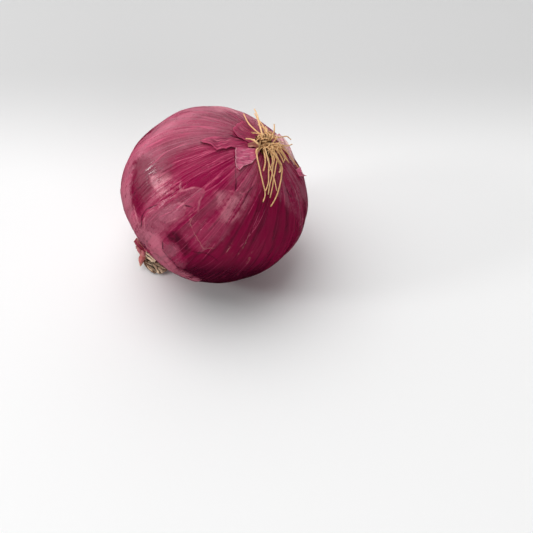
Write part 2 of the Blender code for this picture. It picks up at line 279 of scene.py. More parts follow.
def bulb_radius(lon, colat):
    """Distance from the bulb's middle to its skin in a direction: one over the length of that
    direction measured in the ellipsoid's own radii, plus the shoulder, the ribs, the lumps and the
    dents."""
    across = np.sin(colat)
    axial = np.where(np.cos(colat) > 0.0, ROOT_REACH, NECK_REACH)
    form = 1.0 / np.sqrt(
        (across * np.cos(lon - OVAL_TURN) / LONG_RADIUS) ** 2
        + (across * np.sin(lon - OVAL_TURN) / SHORT_RADIUS) ** 2
        + (np.cos(colat) / axial) ** 2
    )
    shoulder = SHOULDER_RISE * np.exp(-(((math.pi - colat) / SHOULDER_SPREAD) ** 2))
    ribs = 0.22 * MM * across**2 * np.cos(18 * lon + 0.7 * np.sin(3 * lon + 1.0))
    lumps = 0.50 * MM * across**2 * np.sin(2 * lon + 2.6 * colat - 0.4)
    return form + shoulder + ribs + lumps + dents(lon, colat)


def along_direction(lon, colat, reach):
    """Points in the onion's own axes, from longitude, colatitude and distance."""
    across = reach * np.sin(colat)
    return np.stack([across * np.cos(lon), across * np.sin(lon), reach * np.cos(colat)], axis=-1)


def to_world(local):
    """Leans points from the onion's own axes and lifts them to where the bulb lies."""
    return local @ AXES + CENTRE


def over_skin(lon, colat, above=0.0):
    """World points at a height over the skin."""
    return to_world(along_direction(lon, colat, bulb_radius(lon, colat) + above))


print("widest radius in mm:", round(float(bulb_radius(OVAL_TURN, math.pi / 2)) / MM, 1))

# %% [markdown]
# ## Places on the skin
#
# Two ways to say where a feature is. A map place is two numbers in degrees on a flat map round the
# root: the colatitude times the cosine and times the sine of the longitude, so the root is (0, 0)
# and a step of one degree is about 0.75 mm. A picture place is a point of the 533-pixel picture: the
# line of sight through it is followed until it meets the skin.

# %% Map places and picture places
MAP_DEGREE = 0.75


def from_map(places):
    """Longitude and colatitude of map places, in radians."""
    places = np.asarray(places, float)
    return np.arctan2(places[..., 1], places[..., 0]), np.radians(np.hypot(places[..., 0], places[..., 1]))


def to_polar(world_points):
    """Longitude, colatitude and distance from the bulb's middle of world points."""
    local = (world_points - CENTRE) @ AXES.T
    reach = np.linalg.norm(local, axis=-1)
    return np.arctan2(local[..., 1], local[..., 0]), np.arccos(local[..., 2] / reach), reach


def sight_lines(pixels):
    """Directions from the camera through picture places, one unit deep."""
    pixels = np.asarray(pixels, float)
    pixel_scale = SENSOR / LENS / PICTURE_SIZE
    across = (pixels[..., 0] - PICTURE_SIZE / 2) * pixel_scale
    up = (PICTURE_SIZE / 2 - pixels[..., 1]) * pixel_scale
    sin_down, cos_down = math.sin(LOOK_DOWN), math.cos(LOOK_DOWN)
    return np.stack([across, cos_down + up * sin_down, up * cos_down - sin_down], axis=-1)


def from_picture(pixels, above):
    """World points where lines of sight first come down to a height over the skin. A line that
    misses stops where it comes closest."""
    sight = sight_lines(pixels)
    steps = np.linspace(0.50, 0.72, 1500)
    points = CAMERA_PLACE + steps[:, None] * sight[..., None, :]
    lon, colat, reach = to_polar(points)
    excess = reach - bulb_radius(lon, colat) - np.asarray(above)[..., None]
    first = np.where(
        (excess < 0).any(axis=-1), np.argmax(excess < 0, axis=-1), np.argmin(excess, axis=-1),
    )
    return np.take_along_axis(points, first[..., None, None], axis=-2)[..., 0, :]


root_in_picture = to_polar(from_picture([(261.0, 146.0)], [0.0]))[1]
print("the tuft's middle is", np.degrees(root_in_picture).round(1), "degrees from the root")

# %% [markdown]
# ## Small tools for meshes
#
# Every new piece is a grid of points worked out as one array. A thin sheet is such a grid, a copy of
# it pushed in along its normals, and a rim between the two, so it is a closed body. A bundle of
# tubes carries a ring of points along each path and keeps the ring from twisting.

# %% Mesh helpers
def make_piece(name, points, faces, fields, material, node):
    """Builds a smooth mesh at the origin, stores its fields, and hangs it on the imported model."""
    mesh = bpy.data.meshes.new(name)
    mesh.from_pydata(points.reshape(-1, 3).tolist(), [], faces)
    for key, values in fields.items():
        if values.ndim > 1 and values.shape[-1] == 3:
            layer = mesh.attributes.new(key, "FLOAT_VECTOR", "POINT")
            layer.data.foreach_set("vector", np.ascontiguousarray(values, dtype=np.float32).ravel())
        else:
            layer = mesh.attributes.new(key, "FLOAT", "POINT")
            layer.data.foreach_set("value", np.ascontiguousarray(values, dtype=np.float32).ravel())
    mesh.polygons.foreach_set("use_smooth", np.ones(len(mesh.polygons), bool))
    mesh.materials.append(material)
    piece = bpy.data.objects.new(name, mesh)
    bpy.context.scene.collection.objects.link(piece)
    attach(piece, "root")
    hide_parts(node)
    print(name, "has", len(mesh.vertices), "points")
    return piece


def grid_faces(rows, columns, wrap=False, start=0):
    """Four-cornered faces between neighbouring rows and columns of a grid of points."""
    row = np.arange(rows - 1)[:, None]
    column = np.arange(columns if wrap else columns - 1)[None, :]
    beside = (column + 1) % columns
    corners = [row * columns + column, (row + 1) * columns + column, (row + 1) * columns + beside, row * columns + beside]
    return (np.stack(corners, axis=-1).reshape(-1, 4) + start).tolist()


def sheet_normals(grid):
    """Unit normals of a grid of points, from the differences along its rows and its columns."""
    normal = np.cross(np.gradient(grid, axis=-3), np.gradient(grid, axis=-2))
    return normal / np.maximum(np.linalg.norm(normal, axis=-1, keepdims=True), 1e-12)


def rim_faces(rows, columns):
    """Faces that join the edge of a sheet's upper grid to the edge of its lower grid."""
    index = np.arange(rows * columns).reshape(rows, columns)
    loop = np.concatenate([index[:-1, 0], index[-1, :-1], index[:0:-1, -1], index[0, :0:-1]])
    after = np.roll(loop, -1)
    below = rows * columns
    return np.stack([loop, loop + below, after + below, after], axis=-1).tolist()


def closed_sheet(grid, thickness, outward, fields):
    """Closed body of a sheet, with its fields on both faces: the grid, the same grid pushed in along
    its normals, and the rim between them. A grid whose normals point inwards is turned over first."""
    if np.sum(sheet_normals(grid) * outward) < 0:
        grid = grid[:, ::-1]
        fields = {key: values[:, ::-1] for key, values in fields.items()}
    rows, columns = grid.shape[:2]
    under = grid - thickness * sheet_normals(grid)
    faces = grid_faces(rows, columns) + rim_faces(rows, columns)
    faces += [face[::-1] for face in grid_faces(rows, columns, start=rows * columns)]
    fields = {key: on_both(values.reshape(rows * columns, -1)) for key, values in fields.items()}
    return np.concatenate([grid.reshape(-1, 3), under.reshape(-1, 3)]), faces, fields


def on_both(values):
    """A field of the upper face, repeated for the lower one."""
    return np.tile(values, (2, 1)).squeeze()


print("mesh helpers ready")

# %% [markdown]
# ## Zones of the outer skin
#
# The skin isn't one colour. Where the outermost layer is torn off, the next one shows bright or wine
# red; where it is loose, air under it makes it pale. Some zones carry painted light as well: the
# underside zone is painted shade near the table, the grey patch near the neck is a painted shadow,
# the sheen zone's film is painted paler as the reflection of the front window, the blister is
# painted paler where the side window's highlight falls, and the limb and the top are painted paler
# in part as grazing reflection. Each zone is an outline on the map. Every point of the skin stores
# its distance in millimetres to each outline, negative inside, and the material turns that into a
# soft or a torn border. The borders stay sharper than the mesh, because only the distance is
# stored, and a distance changes evenly.

# %% Outlines of the zones
ZONES = {
    "wine": (
        (2, -30), (20, -30), (60, -28), (85, -60), (75, -115), (30, -140), (-12, -120), (-20, -100),
        (-27, -95), (-30, -88), (-20, -85), (-12, -86), (-4, -72), (-2, -60), (0, -45),
    ),
    # painted shade: the lower side near the table, painted dark wine
    "shaded_underside": (
        (-30, -114), (-14, -99), (8, -90), (30, -80), (55, -64), (90, -52), (110, -90), (60, -140),
        (-10, -145),
    ),
    "mauve": ((14, -5), (40, 2), (75, 8), (85, -24), (60, -32), (38, -31), (20, -27), (15, -18)),
    "crest": (
        (-30, 27), (-24.8, 29.3), (-18.1, 28.1), (-10.9, 24), (-3.7, 18), (3.7, 14.1), (9, 12), (16, 22),
        (10, 40), (-20, 52), (-40, 46),
    ),
    "right_film": (
        (17, -0.2), (20.7, -8), (23.8, -15.6), (28.9, -22.2), (35.1, -23.2), (44.3, -16.6), (50.3, -7.6),
        (59.4, -2.5), (51.6, 2.4), (49, 12.1), (40.8, 15.9), (30.6, 17.2),
    ),
    "strip": (
        (-19.5, -20), (-17.5, -29.5), (-15.3, -35.1), (-13.2, -40), (-16.2, -41.6), (-14.9, -42.3),
        (-10.9, -41.1), (-6.7, -39), (-3.3, -34.9), (-1, -30), (-2, -20), (-6, -13),
    ),
    # pale film, painted paler still as the reflection of the front window, which leaves no gloss
    "film_and_sheen": ((-26, -45), (-13, -42), (-2, -42), (1, -56), (-10, -63), (-21, -59)),
    "bright": (
        (-18, -12), (-30, -16), (-45, -14), (-60, -24), (-54, -36), (-42, -47), (-28, -47), (-18, -42),
        (-20, -28),
    ),
    "crimson": (
        (-90, -10), (-80, -12), (-72, -20), (-66, -36), (-71, -50), (-80, -64), (-91, -52), (-92, -38),
        (-91, -24),
    ),
    "loose": (
        (-98, -20), (-90, -55), (-81, -66), (-75, -72), (-70.1, -76.8), (-59.2, -79), (-52.8, -84.6),
        (-49, -92.1), (-38.1, -102.5), (-22, -112.2), (-10.9, -113.6), (4.3, -115), (20, -114),
        (30, -124), (-24, -134), (-60, -130), (-130, -60), (-118, -10),
    ),
    # painted shadow: a purple-grey patch near the neck, made as recessed grey film
    "grey_shadow": (
        (-50.5, -87.7), (-44.5, -85.9), (-38.2, -87.8), (-30.8, -92.4), (-30.8, -97.5), (-23.1, -100.7),
        (-16.6, -107.7), (-24.1, -107.7), (-36.4, -101.8), (-46.2, -94.9),
    ),
    "dark_patch": (
        (-50, -79), (-45.6, -76.4), (-40.8, -75.5), (-36.8, -79), (-30, -82), (-24, -88), (-26, -94),
        (-33.7, -90), (-39.2, -86.5), (-44.6, -83.5),
    ),
    "lobe": (
        (-47, -73.8), (-40.6, -66.6), (-32.8, -57.6), (-33.9, -53.4), (-33, -49), (-32.6, -46.2),
        (-33.9, -44.8), (-36.1, -44), (-40.3, -43.5), (-44.2, -44.6), (-51.2, -48.9), (-59.6, -52.7),
        (-69.2, -58.4), (-72.6, -61.5), (-75, -66.3), (-73.8, -71.8), (-70.1, -76.8), (-58.4, -78.2),
    ),
    "inner_lobe": (
        (-61.9, -62.6), (-57.1, -58.7), (-52.4, -56.2), (-46.7, -54.9), (-43.5, -55.5), (-41.7, -58.7),
        (-42.6, -62.8), (-46.4, -66), (-52, -68.7), (-59.1, -68.2),
    ),
    "flap": ((-66.6, -73.9), (-66.2, -69.0), (-63.4, -70.4), (-59.6, -73.3), (-62.5, -75.0)),
    # a lifted patch of film where the side window's highlight falls, painted paler as part of that highlight
    "highlight_blister": (
        (-72.3, -33.5), (-66.5, -32.8), (-59.5, -34.5), (-55.3, -38.8), (-49.7, -41.8), (-49.1, -45.8),
        (-51.6, -49.9), (-56.1, -51.5), (-62.6, -48.5), (-67.4, -44.2), (-71.6, -38.8),
    ),
    # loose pale film along the left edge, painted paler in part as the grazing reflection there
    "limb": (
        (-80.3, -69.1), (-86.3, -59.7), (-89.1, -49.9), (-87.5, -38), (-86.6, -28.5), (-81.4, -16.7),
        (-79, -7), (-74, -1.5), (-67.5, 1.4), (-57.1, 11.7), (-48.2, 16), (-38.5, 21.8), (-26.1, 25.9),
        (-24, 50), (-60, 70), (-110, 50), (-130, -20), (-110, -70),
    ),
    # film paler towards the far rim, in part as painted grazing reflection
    "pale_top": (
        (-80, 14), (-58, 23), (-34, 29), (-14, 27), (-2, 18), (12, 14), (22, 4), (45, 4), (75, 10),
        (80, 80), (-40, 110), (-110, 60),
    ),
}


def map_distance(places, outline):
    """Distance in millimetres from map places to an outline, negative inside. The distance is the
    least to any side; inside is where a ray towards +x crosses an odd number of sides."""
    starts = np.array(outline, float)
    ends = np.roll(starts, -1, axis=0)
    least = np.full(places.shape[:-1], np.inf)
    inside = np.zeros(places.shape[:-1], bool)
    for start, end in zip(starts, ends):
        side = end - start
        share = np.clip(((places - start) @ side) / (side @ side), 0.0, 1.0)
        least = np.minimum(least, np.linalg.norm(places - start - share[..., None] * side, axis=-1))
        spans = (start[1] > places[..., 1]) != (end[1] > places[..., 1])
        drop = (places[..., 1] - start[1]) / (side[1] if side[1] else 1e-9)
        inside ^= spans & (places[..., 0] < start[0] + drop * side[0])
    return MAP_DEGREE * np.where(inside, -least, least)


print("zones:", ", ".join(ZONES))

# %% [markdown]
# ## Single lines on the skin
#
# A few long pale veins and scuffs are lines of their own, and so are painted shadows: dark lines
# under torn edges and in cracks. A line stores how far to its side a point lies, with a sign, and
# how much of the line is left there. The sign makes the value pass straight through zero, so the
# line comes out thin although the mesh is coarser than it.

# %% Named lines
LINES = {
    "pink_line": (
        ((-22.2, -17.2), (-26.8, -20.3), (-33.8, -26.7), (-39.9, -30.7), (-45.1, -34.8)),
        ((-25, -23.1), (-32.6, -29.5), (-40.8, -35.9)),
        ((-27.2, -35.5), (-33.3, -41.6)),
        ((-37.1, -18.4), (-46.6, -23.6), (-55.4, -26.3)),
        ((-32.3, -17.6), (-42.2, -24.2), (-46.2, -26.1)),
        ((-41.7, 1.8), (-50.6, 0.2), (-60.3, -0.1)),
        ((-34, -7.5), (-43.9, -11.4), (-48.7, -11.6)),
        ((-37.4, -15.5), (-46.7, -17.8)),
        ((-25.8, -30.9), (-33.8, -44.3), (-43.1, -53.7), (-51.2, -60.8), (-58.3, -64.3)),
        ((-32.2, -54.7), (-38.4, -64.2), (-47.1, -74.5)),
        ((-34.5, -62.7), (-36.3, -70.4)),
        ((-5.8, -36.6), (-8.4, -53.2), (-9.1, -71.7), (-8.9, -87.6), (-8.5, -95.3)),
        ((3.8, -34.6), (2.7, -45.5), (2.2, -62), (3.2, -69.6)),
        ((9.2, -40.4), (11.1, -54.6)),
        ((13, -33), (14, -52), (12, -70)),
        ((-44.3, -86.3), (-38, -90.2), (-29.6, -94.2)),
        ((-16.1, -41.7), (-13, -42.1), (-10.6, -40.7), (-7.6, -40.6), (-5.6, -37.9)),
    ),
    "scuff_line": (
        (
            (-34, -68.8), (-30.5, -72.5), (-26.5, -76), (-23, -78.4), (-18.6, -81), (-15.1, -82.8),
            (-11.4, -82.7), (-5.8, -79.4),
        ),
        ((12, -62), (14, -67)),
        ((15, -71), (15.5, -75)),
        ((26, -70), (28, -73)),
        ((31, -74), (33, -77)),
        ((4, -72), (5, -78)),
        ((-34.7, -63.5), (-35.6, -67.1)),
        ((-38, -63.8), (-34.5, -59.4)),
    ),
    "rim_line": (
        (
            (-32.8, -57.6), (-33.9, -53.4), (-33, -49), (-32.6, -46.2), (-33.9, -44.8), (-36.1, -44),
            (-40.3, -43.5), (-48.2, -46.8),
        ),
        ((-46.7, -54.9), (-43.5, -55.5), (-41.7, -58.7), (-42.6, -62.8), (-46.4, -66), (-52, -68.7)),
        ((-73.5, -71.8), (-74.1, -65.5), (-71.3, -61.3), (-66.9, -59.5)),
        ((-49.7, -41.8), (-49.1, -45.8), (-51.6, -49.9), (-56.1, -51.5), (-62.6, -48.5)),
        ((-88, -52), (-85, -60), (-81, -68)),
        ((-16.1, -41.7), (-13, -42.1), (-10.6, -40.7), (-7.6, -40.6), (-5.6, -37.9)),
    ),
    # painted shadow: dark lines under torn edges and in cracks
    "painted_shadow_line": (
        ((-51.1, -87.2), (-48.5, -94.4), (-43.6, -98.7), (-36.4, -103), (-27.2, -107.9), (-16.6, -113.2)),
        ((24.7, -21.6), (26.8, -22.5), (29.5, -22.5)),
        ((-71.2, 15.5), (-75.4, 9.7)),
        ((-20.5, -13.2), (-19.3, -21.1), (-17.3, -29), (-15, -35), (-13.6, -40.6)),
        ((-42.0, -56.0), (-39.5, -56.4)),
        ((-76.9, -71.5), (-77.4, -66.8), (-76.2, -62.2), (-72.7, -57.9), (-64.5, -56)),
        ((-24, -3), (-19, -4), (-14, -7)),
        ((-20, -88), (-10, -86), (4, -88)),
        ((-3.3, -34.9), (-4.4, -38), (-5, -45.8)),
    ),
}


def line_fields(places, lines):
    """For each map place, the signed distance in millimetres to the nearest line, and the share of
    that line left there, which falls to 0 within 2 mm past either end."""
    nearest = np.full(places.shape[:-1], 1e6)
    signed = np.full(places.shape[:-1], 1e6)
    left = np.zeros(places.shape[:-1])
    for line in lines:
        knots = np.array(line, float)
        for index, (start, end) in enumerate(zip(knots[:-1], knots[1:])):
            side = end - start
            share = ((places - start) @ side) / (side @ side)
            low = 0.0 if index else -3.0
            high = 1.0 if index < len(knots) - 2 else 4.0
            held = np.clip(share, low, high)
            offset = places - start - held[..., None] * side
            away = np.linalg.norm(offset, axis=-1)
            turn = np.where(side[0] * offset[..., 1] - side[1] * offset[..., 0] < 0, -1.0, 1.0)
            past = np.maximum(np.maximum(-held, held - 1.0), 0.0) * np.linalg.norm(side) * MAP_DEGREE
            closer = away < nearest
            nearest = np.where(closer, away, nearest)
            signed = np.where(closer, away * turn * MAP_DEGREE, signed)
            left = np.where(closer, np.clip(1.0 - past / 2.0, 0.0, 1.0), left)
    return np.clip(signed, -20.0, 20.0), left


print("lines:", {key: len(lines) for key, lines in LINES.items()})

# %% [markdown]
# ## Fields that the skin materials read
#
# Veins run from root to neck, so their pattern needs a space in which that is one straight
# direction, without a seam: the cosine and sine of the longitude, and the colatitude. A noise that
# is stretched along the third axis of that space draws veins that meet at both ends of the bulb.

# %% Fields of the skin
def skin_fields(lon, colat):
    """Vein space, and the distances to every zone and line, at points of the skin."""
    degrees = np.degrees(colat)
    places = np.stack([degrees * np.cos(lon), degrees * np.sin(lon)], axis=-1)
    fields = {"vein_space": np.stack([np.cos(lon), np.sin(lon), colat / math.pi], axis=-1)}
    for name, outline in ZONES.items():
        fields[name] = np.clip(map_distance(places, outline), -20.0, 20.0)
    for name, lines in LINES.items():
        fields[name], fields[name + "_left"] = line_fields(places, lines)
    return fields


def smooth_step(value):
    """Rises from 0 to 1 with level ends as value goes from 0 to 1."""
    held = np.clip(value, 0.0, 1.0)
    return held * held * (3.0 - 2.0 * held)


print("fields:", 1 + len(ZONES) + 2 * len(LINES))

# %% [markdown]
# ## The outer skin
#
# The skin could be the solid's own mesh with a bump map, but its outline would stay faceted. A
# fresh grid with a point about every 0.7 mm carries the fine ribs, the drawn-in folds at the neck
# and the steps at torn borders as real relief. Finer veins are left to the material.

# %% Outer skin mesh
SKIN_COLUMNS = 400
SKIN_RINGS = 236
LEAST_CLEARANCE = 0.00015


def vein_relief(lon, colat):
    """Low ribs from root to neck: a sum of waves round the bulb, each swerving a little with
    colatitude, in millimetres."""
    rng = np.random.default_rng(4)
    total = np.zeros_like(lon)
    for _ in range(12):
        count = rng.integers(20, 90)
        swerve = rng.uniform(0.5, 2.5) * np.sin(rng.uniform(1.0, 4.0) * colat + rng.uniform(0.0, 6.3))
        fades = 0.5 + 0.5 * np.sin(rng.integers(1, 5) * lon + 2.0 * colat + rng.uniform(0.0, 6.3))
        total += fades * np.cos(count * lon + swerve + rng.uniform(0.0, 6.3))
    return 0.022 * total * np.sin(colat)


def end_folds(lon, colat):
    """Folds where the skin is drawn together: deep ones at the neck, shallow ones at the root."""
    neck = np.exp(-(((math.pi - colat) / math.radians(20.0)) ** 2))
    root = np.exp(-(((colat - math.radians(13.0)) / math.radians(7.0)) ** 2))
    gathered = np.cos(23 * lon + 1.5 * np.sin(2 * lon)) + 0.6 * np.cos(37 * lon + 0.7)
    tight = np.cos(41 * lon + 2.0 * np.sin(3 * lon)) + 0.7 * np.cos(67 * lon + 1.9)
    return 0.34 * neck * gathered * np.sin(colat) ** 0.5 + 0.07 * root * tight


def torn_steps(fields):
    """Loose layers stand a little proud inside their outlines, in millimetres."""
    def step(name, height, width):
        return height * smooth_step(0.5 - fields[name] / width)

    layers = step("strip", 0.30, 0.8) + step("lobe", 0.20, 1.0) + step("inner_lobe", 0.14, 0.8)
    layers = layers + step("flap", 0.25, 0.6) + step("highlight_blister", 0.22, 1.6) + step("loose", 0.30, 2.5)
    return layers + step("grey_shadow", -0.22, 1.5) + step("bright", -0.10, 3.0)


def rest_on_table(points):
    """Keeps points above the table, with a soft squeeze just over it."""
    squeeze = 0.0006
    height = points[..., 2]
    soft = squeeze * np.logaddexp(0.0, (height - LEAST_CLEARANCE) / squeeze)
    points[..., 2] = LEAST_CLEARANCE + np.where(height > 10 * squeeze, height - LEAST_CLEARANCE, soft)
    return points


def outer_skin_points(lon, colat, fields):
    """Bulb form plus relief, cut level at the root seat and the neck seat."""
    relief = vein_relief(lon, colat) + end_folds(lon, colat) + torn_steps(fields)
    local = along_direction(lon, colat, bulb_radius(lon, colat) + relief * MM)
    local[..., 2] = np.clip(local[..., 2], -NECK_SEAT, ROOT_SEAT)
    return rest_on_table(to_world(local))


ring = (np.arange(SKIN_RINGS) + 0.5) / SKIN_RINGS * math.pi
column = np.arange(SKIN_COLUMNS) / SKIN_COLUMNS * math.tau
skin_colat, skin_lon = np.meshgrid(ring, column, indexing="ij")
skin_data = skin_fields(skin_lon, skin_colat)
skin_points = outer_skin_points(skin_lon, skin_colat, skin_data)
skin_points = np.concatenate([skin_points.reshape(-1, 3), skin_points[0].mean(0)[None], skin_points[-1].mean(0)[None]])
root_pole, neck_pole = SKIN_RINGS * SKIN_COLUMNS, SKIN_RINGS * SKIN_COLUMNS + 1
skin_faces = grid_faces(SKIN_RINGS, SKIN_COLUMNS, wrap=True)
last_ring = (SKIN_RINGS - 1) * SKIN_COLUMNS
skin_faces += [(root_pole, k, (k + 1) % SKIN_COLUMNS) for k in range(SKIN_COLUMNS)]
skin_faces += [(neck_pole, last_ring + (k + 1) % SKIN_COLUMNS, last_ring + k) for k in range(SKIN_COLUMNS)]


def with_poles(values):
    """Adds the two pole points' values, copied from the rings beside them."""
    flat = values.reshape(SKIN_RINGS * SKIN_COLUMNS, -1)
    return np.concatenate([flat, flat[:1], flat[-1:]]).squeeze()


skin_data = {key: with_poles(values) for key, values in skin_data.items()}
print("lowest point of the skin in mm:", round(float(skin_points[:, 2].min()) / MM, 2))

# %% [markdown]
# ## Shared effects
#
# Four effects are node groups: veins that run from root to neck, ribs, a zone with a torn border,
# and the crumple of thin paper. The skin's paint uses them, and so do the torn scraps that share it.
# A group only puts out values. The shader itself stays in each material.

# %% Group tools
FLOAT, VECTOR, COLOUR = "NodeSocketFloat", "NodeSocketVector", "NodeSocketColor"
ORIGIN = (0.0, 0.0, 0.0)


def start_group(name, inputs, outputs):
    """A node group: inputs gives each name its value, where three numbers make a vector, and outputs
    gives each name its kind of socket."""
    group = bpy.data.node_groups.new(name, "ShaderNodeTree")
    for label, value in inputs.items():
        kind = VECTOR if isinstance(value, tuple) else FLOAT
        group.interface.new_socket(label, in_out="INPUT", socket_type=kind).default_value = value
    for label, kind in outputs.items():
        group.interface.new_socket(label, in_out="OUTPUT", socket_type=kind)
    return group, group.nodes.new("NodeGroupInput").outputs, group.nodes.new("NodeGroupOutput").inputs


def use_group(tree, group, values):
    """Places a group in a tree and returns its outputs."""
    node = add_node(tree, "ShaderNodeGroup", node_tree=group)
    for key, value in values.items():
        if isinstance(value, bpy.types.NodeSocket):
            tree.links.new(value, node.inputs[key])
        else:
            node.inputs[key].default_value = value
    return node.outputs


def vector(tree, operation, *values, **named):
    """Result of one Vector Math node."""
    sockets = {**dict(enumerate(values)), **named}
    return add_node(tree, "ShaderNodeVectorMath", sockets, operation=operation).outputs[0]


def bundle(tree, x, y, z):
    """Three values as one vector."""
    return add_node(tree, "ShaderNodeCombineXYZ", {0: x, 1: y, 2: z}).outputs[0]


print("group tools ready")

# %% Group: veins
VEIN_INPUTS = {"Vein Space": ORIGIN, "Around": 20.0, "Along": 2.0, "Swerve": 0.05, "Shift": 0.0}
veins, given, result = start_group("veins", VEIN_INPUTS, {"Vein": FLOAT})
wander = add_node(
    veins, "ShaderNodeTexNoise", {"Vector": given["Vein Space"], "Scale": 5.0, "Detail": 2.0},
)
swerve = vector(veins, "SUBTRACT", wander.outputs["Color"], (0.5, 0.5, 0.5))
bent = vector(veins, "ADD", given["Vein Space"], vector(veins, "SCALE", swerve, Scale=given["Swerve"]))
stretch = bundle(veins, given["Around"], given["Around"], given["Along"])
drawn = vector(veins, "MULTIPLY", bent, stretch)
moved = vector(veins, "ADD", drawn, bundle(veins, given["Shift"], given["Shift"], given["Shift"]))
veins.links.new(noise(veins, moved, 1.0, 2.0), result["Vein"])
print("group veins has", len(veins.nodes), "nodes")

# %% Group: ribs
RIB_INPUTS = {"Vein Space": ORIGIN, "Count": 60.0, "Width": 0.3, "Shift": 0.0}
BULB_GIRTH = math.tau * 44.0
ribs, given, result = start_group("ribs", RIB_INPUTS, {"Rib": FLOAT})
wander_place = vector(ribs, "MULTIPLY", given["Vein Space"], (2.2, 2.2, 1.6))
wander = calc(ribs, "MULTIPLY", noise(ribs, wander_place, 1.0, 3.0), 5.0)
parts = add_node(ribs, "ShaderNodeSeparateXYZ", {"Vector": given["Vein Space"]}).outputs
turn = calc(ribs, "DIVIDE", calc(ribs, "ARCTAN2", parts["Y"], parts["X"]), math.tau)
phase = calc(ribs, "ADD", calc(ribs, "MULTIPLY", turn, given["Count"]), given["Count"], wander)
from_rib = calc(ribs, "ABSOLUTE", calc(ribs, "SUBTRACT", calc(ribs, "FRACT", phase), 0.5))
girth = calc(
    ribs, "MULTIPLY", calc(ribs, "SINE", calc(ribs, "MULTIPLY", parts["Z"], math.pi)), BULB_GIRTH,
)
away = calc(ribs, "MULTIPLY", from_rib, calc(ribs, "DIVIDE", girth, given["Count"]))
number = calc(ribs, "MODULO", calc(ribs, "FLOOR", phase), given["Count"])
own_row = calc(ribs, "MULTIPLY", number, 7.31)
own_place = bundle(ribs, own_row, calc(ribs, "MULTIPLY", parts["Z"], 9.0), given["Shift"])
broken = fade(ribs, noise(ribs, own_place, 1.0, 3.0), 0.48, 0.62)
line = fade(ribs, away, given["Width"], calc(ribs, "MULTIPLY", given["Width"], 0.25))
ribs.links.new(calc(ribs, "MULTIPLY", line, broken), result["Rib"])
print("group ribs has", len(ribs.nodes), "nodes")

# %% Group: torn zone
ZONE_INPUTS = {"Distance": 0.0, "Soft": 1.0, "Ragged": 1.0, "Ragged Noise": 0.5}
torn_zone, given, result = start_group("torn zone", ZONE_INPUTS, {"Mask": FLOAT})
shake = calc(
    torn_zone, "MULTIPLY", calc(torn_zone, "SUBTRACT", given["Ragged Noise"], 0.5), given["Ragged"],
)
shaken = calc(torn_zone, "ADD", given["Distance"], shake)
behind = calc(torn_zone, "MULTIPLY", given["Soft"], -1.0)
torn_zone.links.new(fade(torn_zone, shaken, given["Soft"], behind), result["Mask"])
print("group torn zone has", len(torn_zone.nodes), "nodes")

# %% Group: crumpled paper
crumple, given, result = start_group(
    "crumpled paper", {"Place": ORIGIN, "Size": 300.0}, {"Height": FLOAT},
)
push = add_node(
    crumple, "ShaderNodeTexNoise", {"Vector": given["Place"], "Scale": given["Size"], "Detail": 1.0},
)
pushed = vector(crumple, "SCALE", push.outputs["Color"], Scale=0.004)
bent = vector(crumple, "ADD", given["Place"], pushed)
facets = add_node(crumple, "ShaderNodeTexVoronoi", {"Vector": bent, "Scale": given["Size"]}, feature="F1")
facets = calc(crumple, "MULTIPLY", facets.outputs["Distance"], 0.6)
soft = noise(crumple, given["Place"], given["Size"], 3.0)
crumple.links.new(calc(crumple, "ADD", facets, soft), result["Height"])
print("group crumpled paper has", len(crumple.nodes), "nodes")

# %% [markdown]
# ## Paint of the skin
#
# The skin is two things at once: a juicy red layer, and over it a dry film. The film is pale, and
# lets the red through where it clings. So the paint first chooses the red, from bright to wine, and
# then how much film lies on it: that share is set zone by zone, and broken up by streaks, blotches
# and grain. Ribs and single lines come last. Some of this is painted light: dark wine on the lower
# side, darkened grooves, shadow lines and a grey patch near the neck are painted shade, and the pale
# film at the limb, the top, the sheen zone and the blister is in part painted reflection and
# highlight. It is a group, because the torn scraps are of the same skin and have to match it where
# they are still joined to it.

# %% Colours of the skin
RED = (0.310, 0.004, 0.060)
BRIGHT = (0.340, 0.003, 0.064)
CRIMSON = (0.190, 0.001, 0.032)
WINE = (0.275, 0.001, 0.046)
# dark wine of streaks and patches, also used as painted shade on the lower side
DARK_WINE_AND_SHADE = (0.062, 0.001, 0.014)
FILM = (0.560, 0.108, 0.190)
FILM_GREY = (0.380, 0.100, 0.155)
FILM_LIGHT = (0.760, 0.260, 0.330)
PINK = (0.700, 0.095, 0.210)
CREAM = (0.600, 0.280, 0.260)
# dark of veins and specks, also used as painted shade in grooves and shadow lines
DARK_VEIN_AND_SHADE = (0.050, 0.002, 0.014)
print("skin colours: 11")

# %% Group: skin paint
skin_paint, given, result = start_group(
    "skin paint", {"Vein Space": ORIGIN}, {"Color": COLOUR, "Roughness": FLOAT, "Height": FLOAT}
)
tree = skin_paint
place = object_place(tree)
vein_space = given["Vein Space"]


def vein_layer(around, along, swerve, shift):
    """One layer of veins in the skin's vein space."""
    values = {
        "Vein Space": vein_space, "Around": around, "Along": along, "Swerve": swerve, "Shift": shift,
    }
    return use_group(tree, veins, values)["Vein"]


def rib_layer(count, width, shift):
    """One layer of ribs; the width is in millimetres."""
    return use_group(tree, ribs, {"Vein Space": vein_space, "Count": count, "Width": width, "Shift": shift})["Rib"]


wide = vein_layer(5.0, 1.6, 0.20, 0.0)
medium = vein_layer(17.0, 2.6, 0.10, 7.0)
fine = vein_layer(48.0, 3.4, 0.05, 3.0)
hair = vein_layer(110.0, 6.0, 0.03, 11.0)
cloud = noise(tree, place, 55.0, 4.0)
patch = noise(tree, place, 170.0, 3.0)
mottle = noise(tree, place, 480.0, 3.0)
grain = noise(tree, place, 1500.0, 2.0)


def part_of(mask, share):
    """A mask held down to a share, or where a second mask is 1."""
    return calc(tree, "MULTIPLY", mask, share)


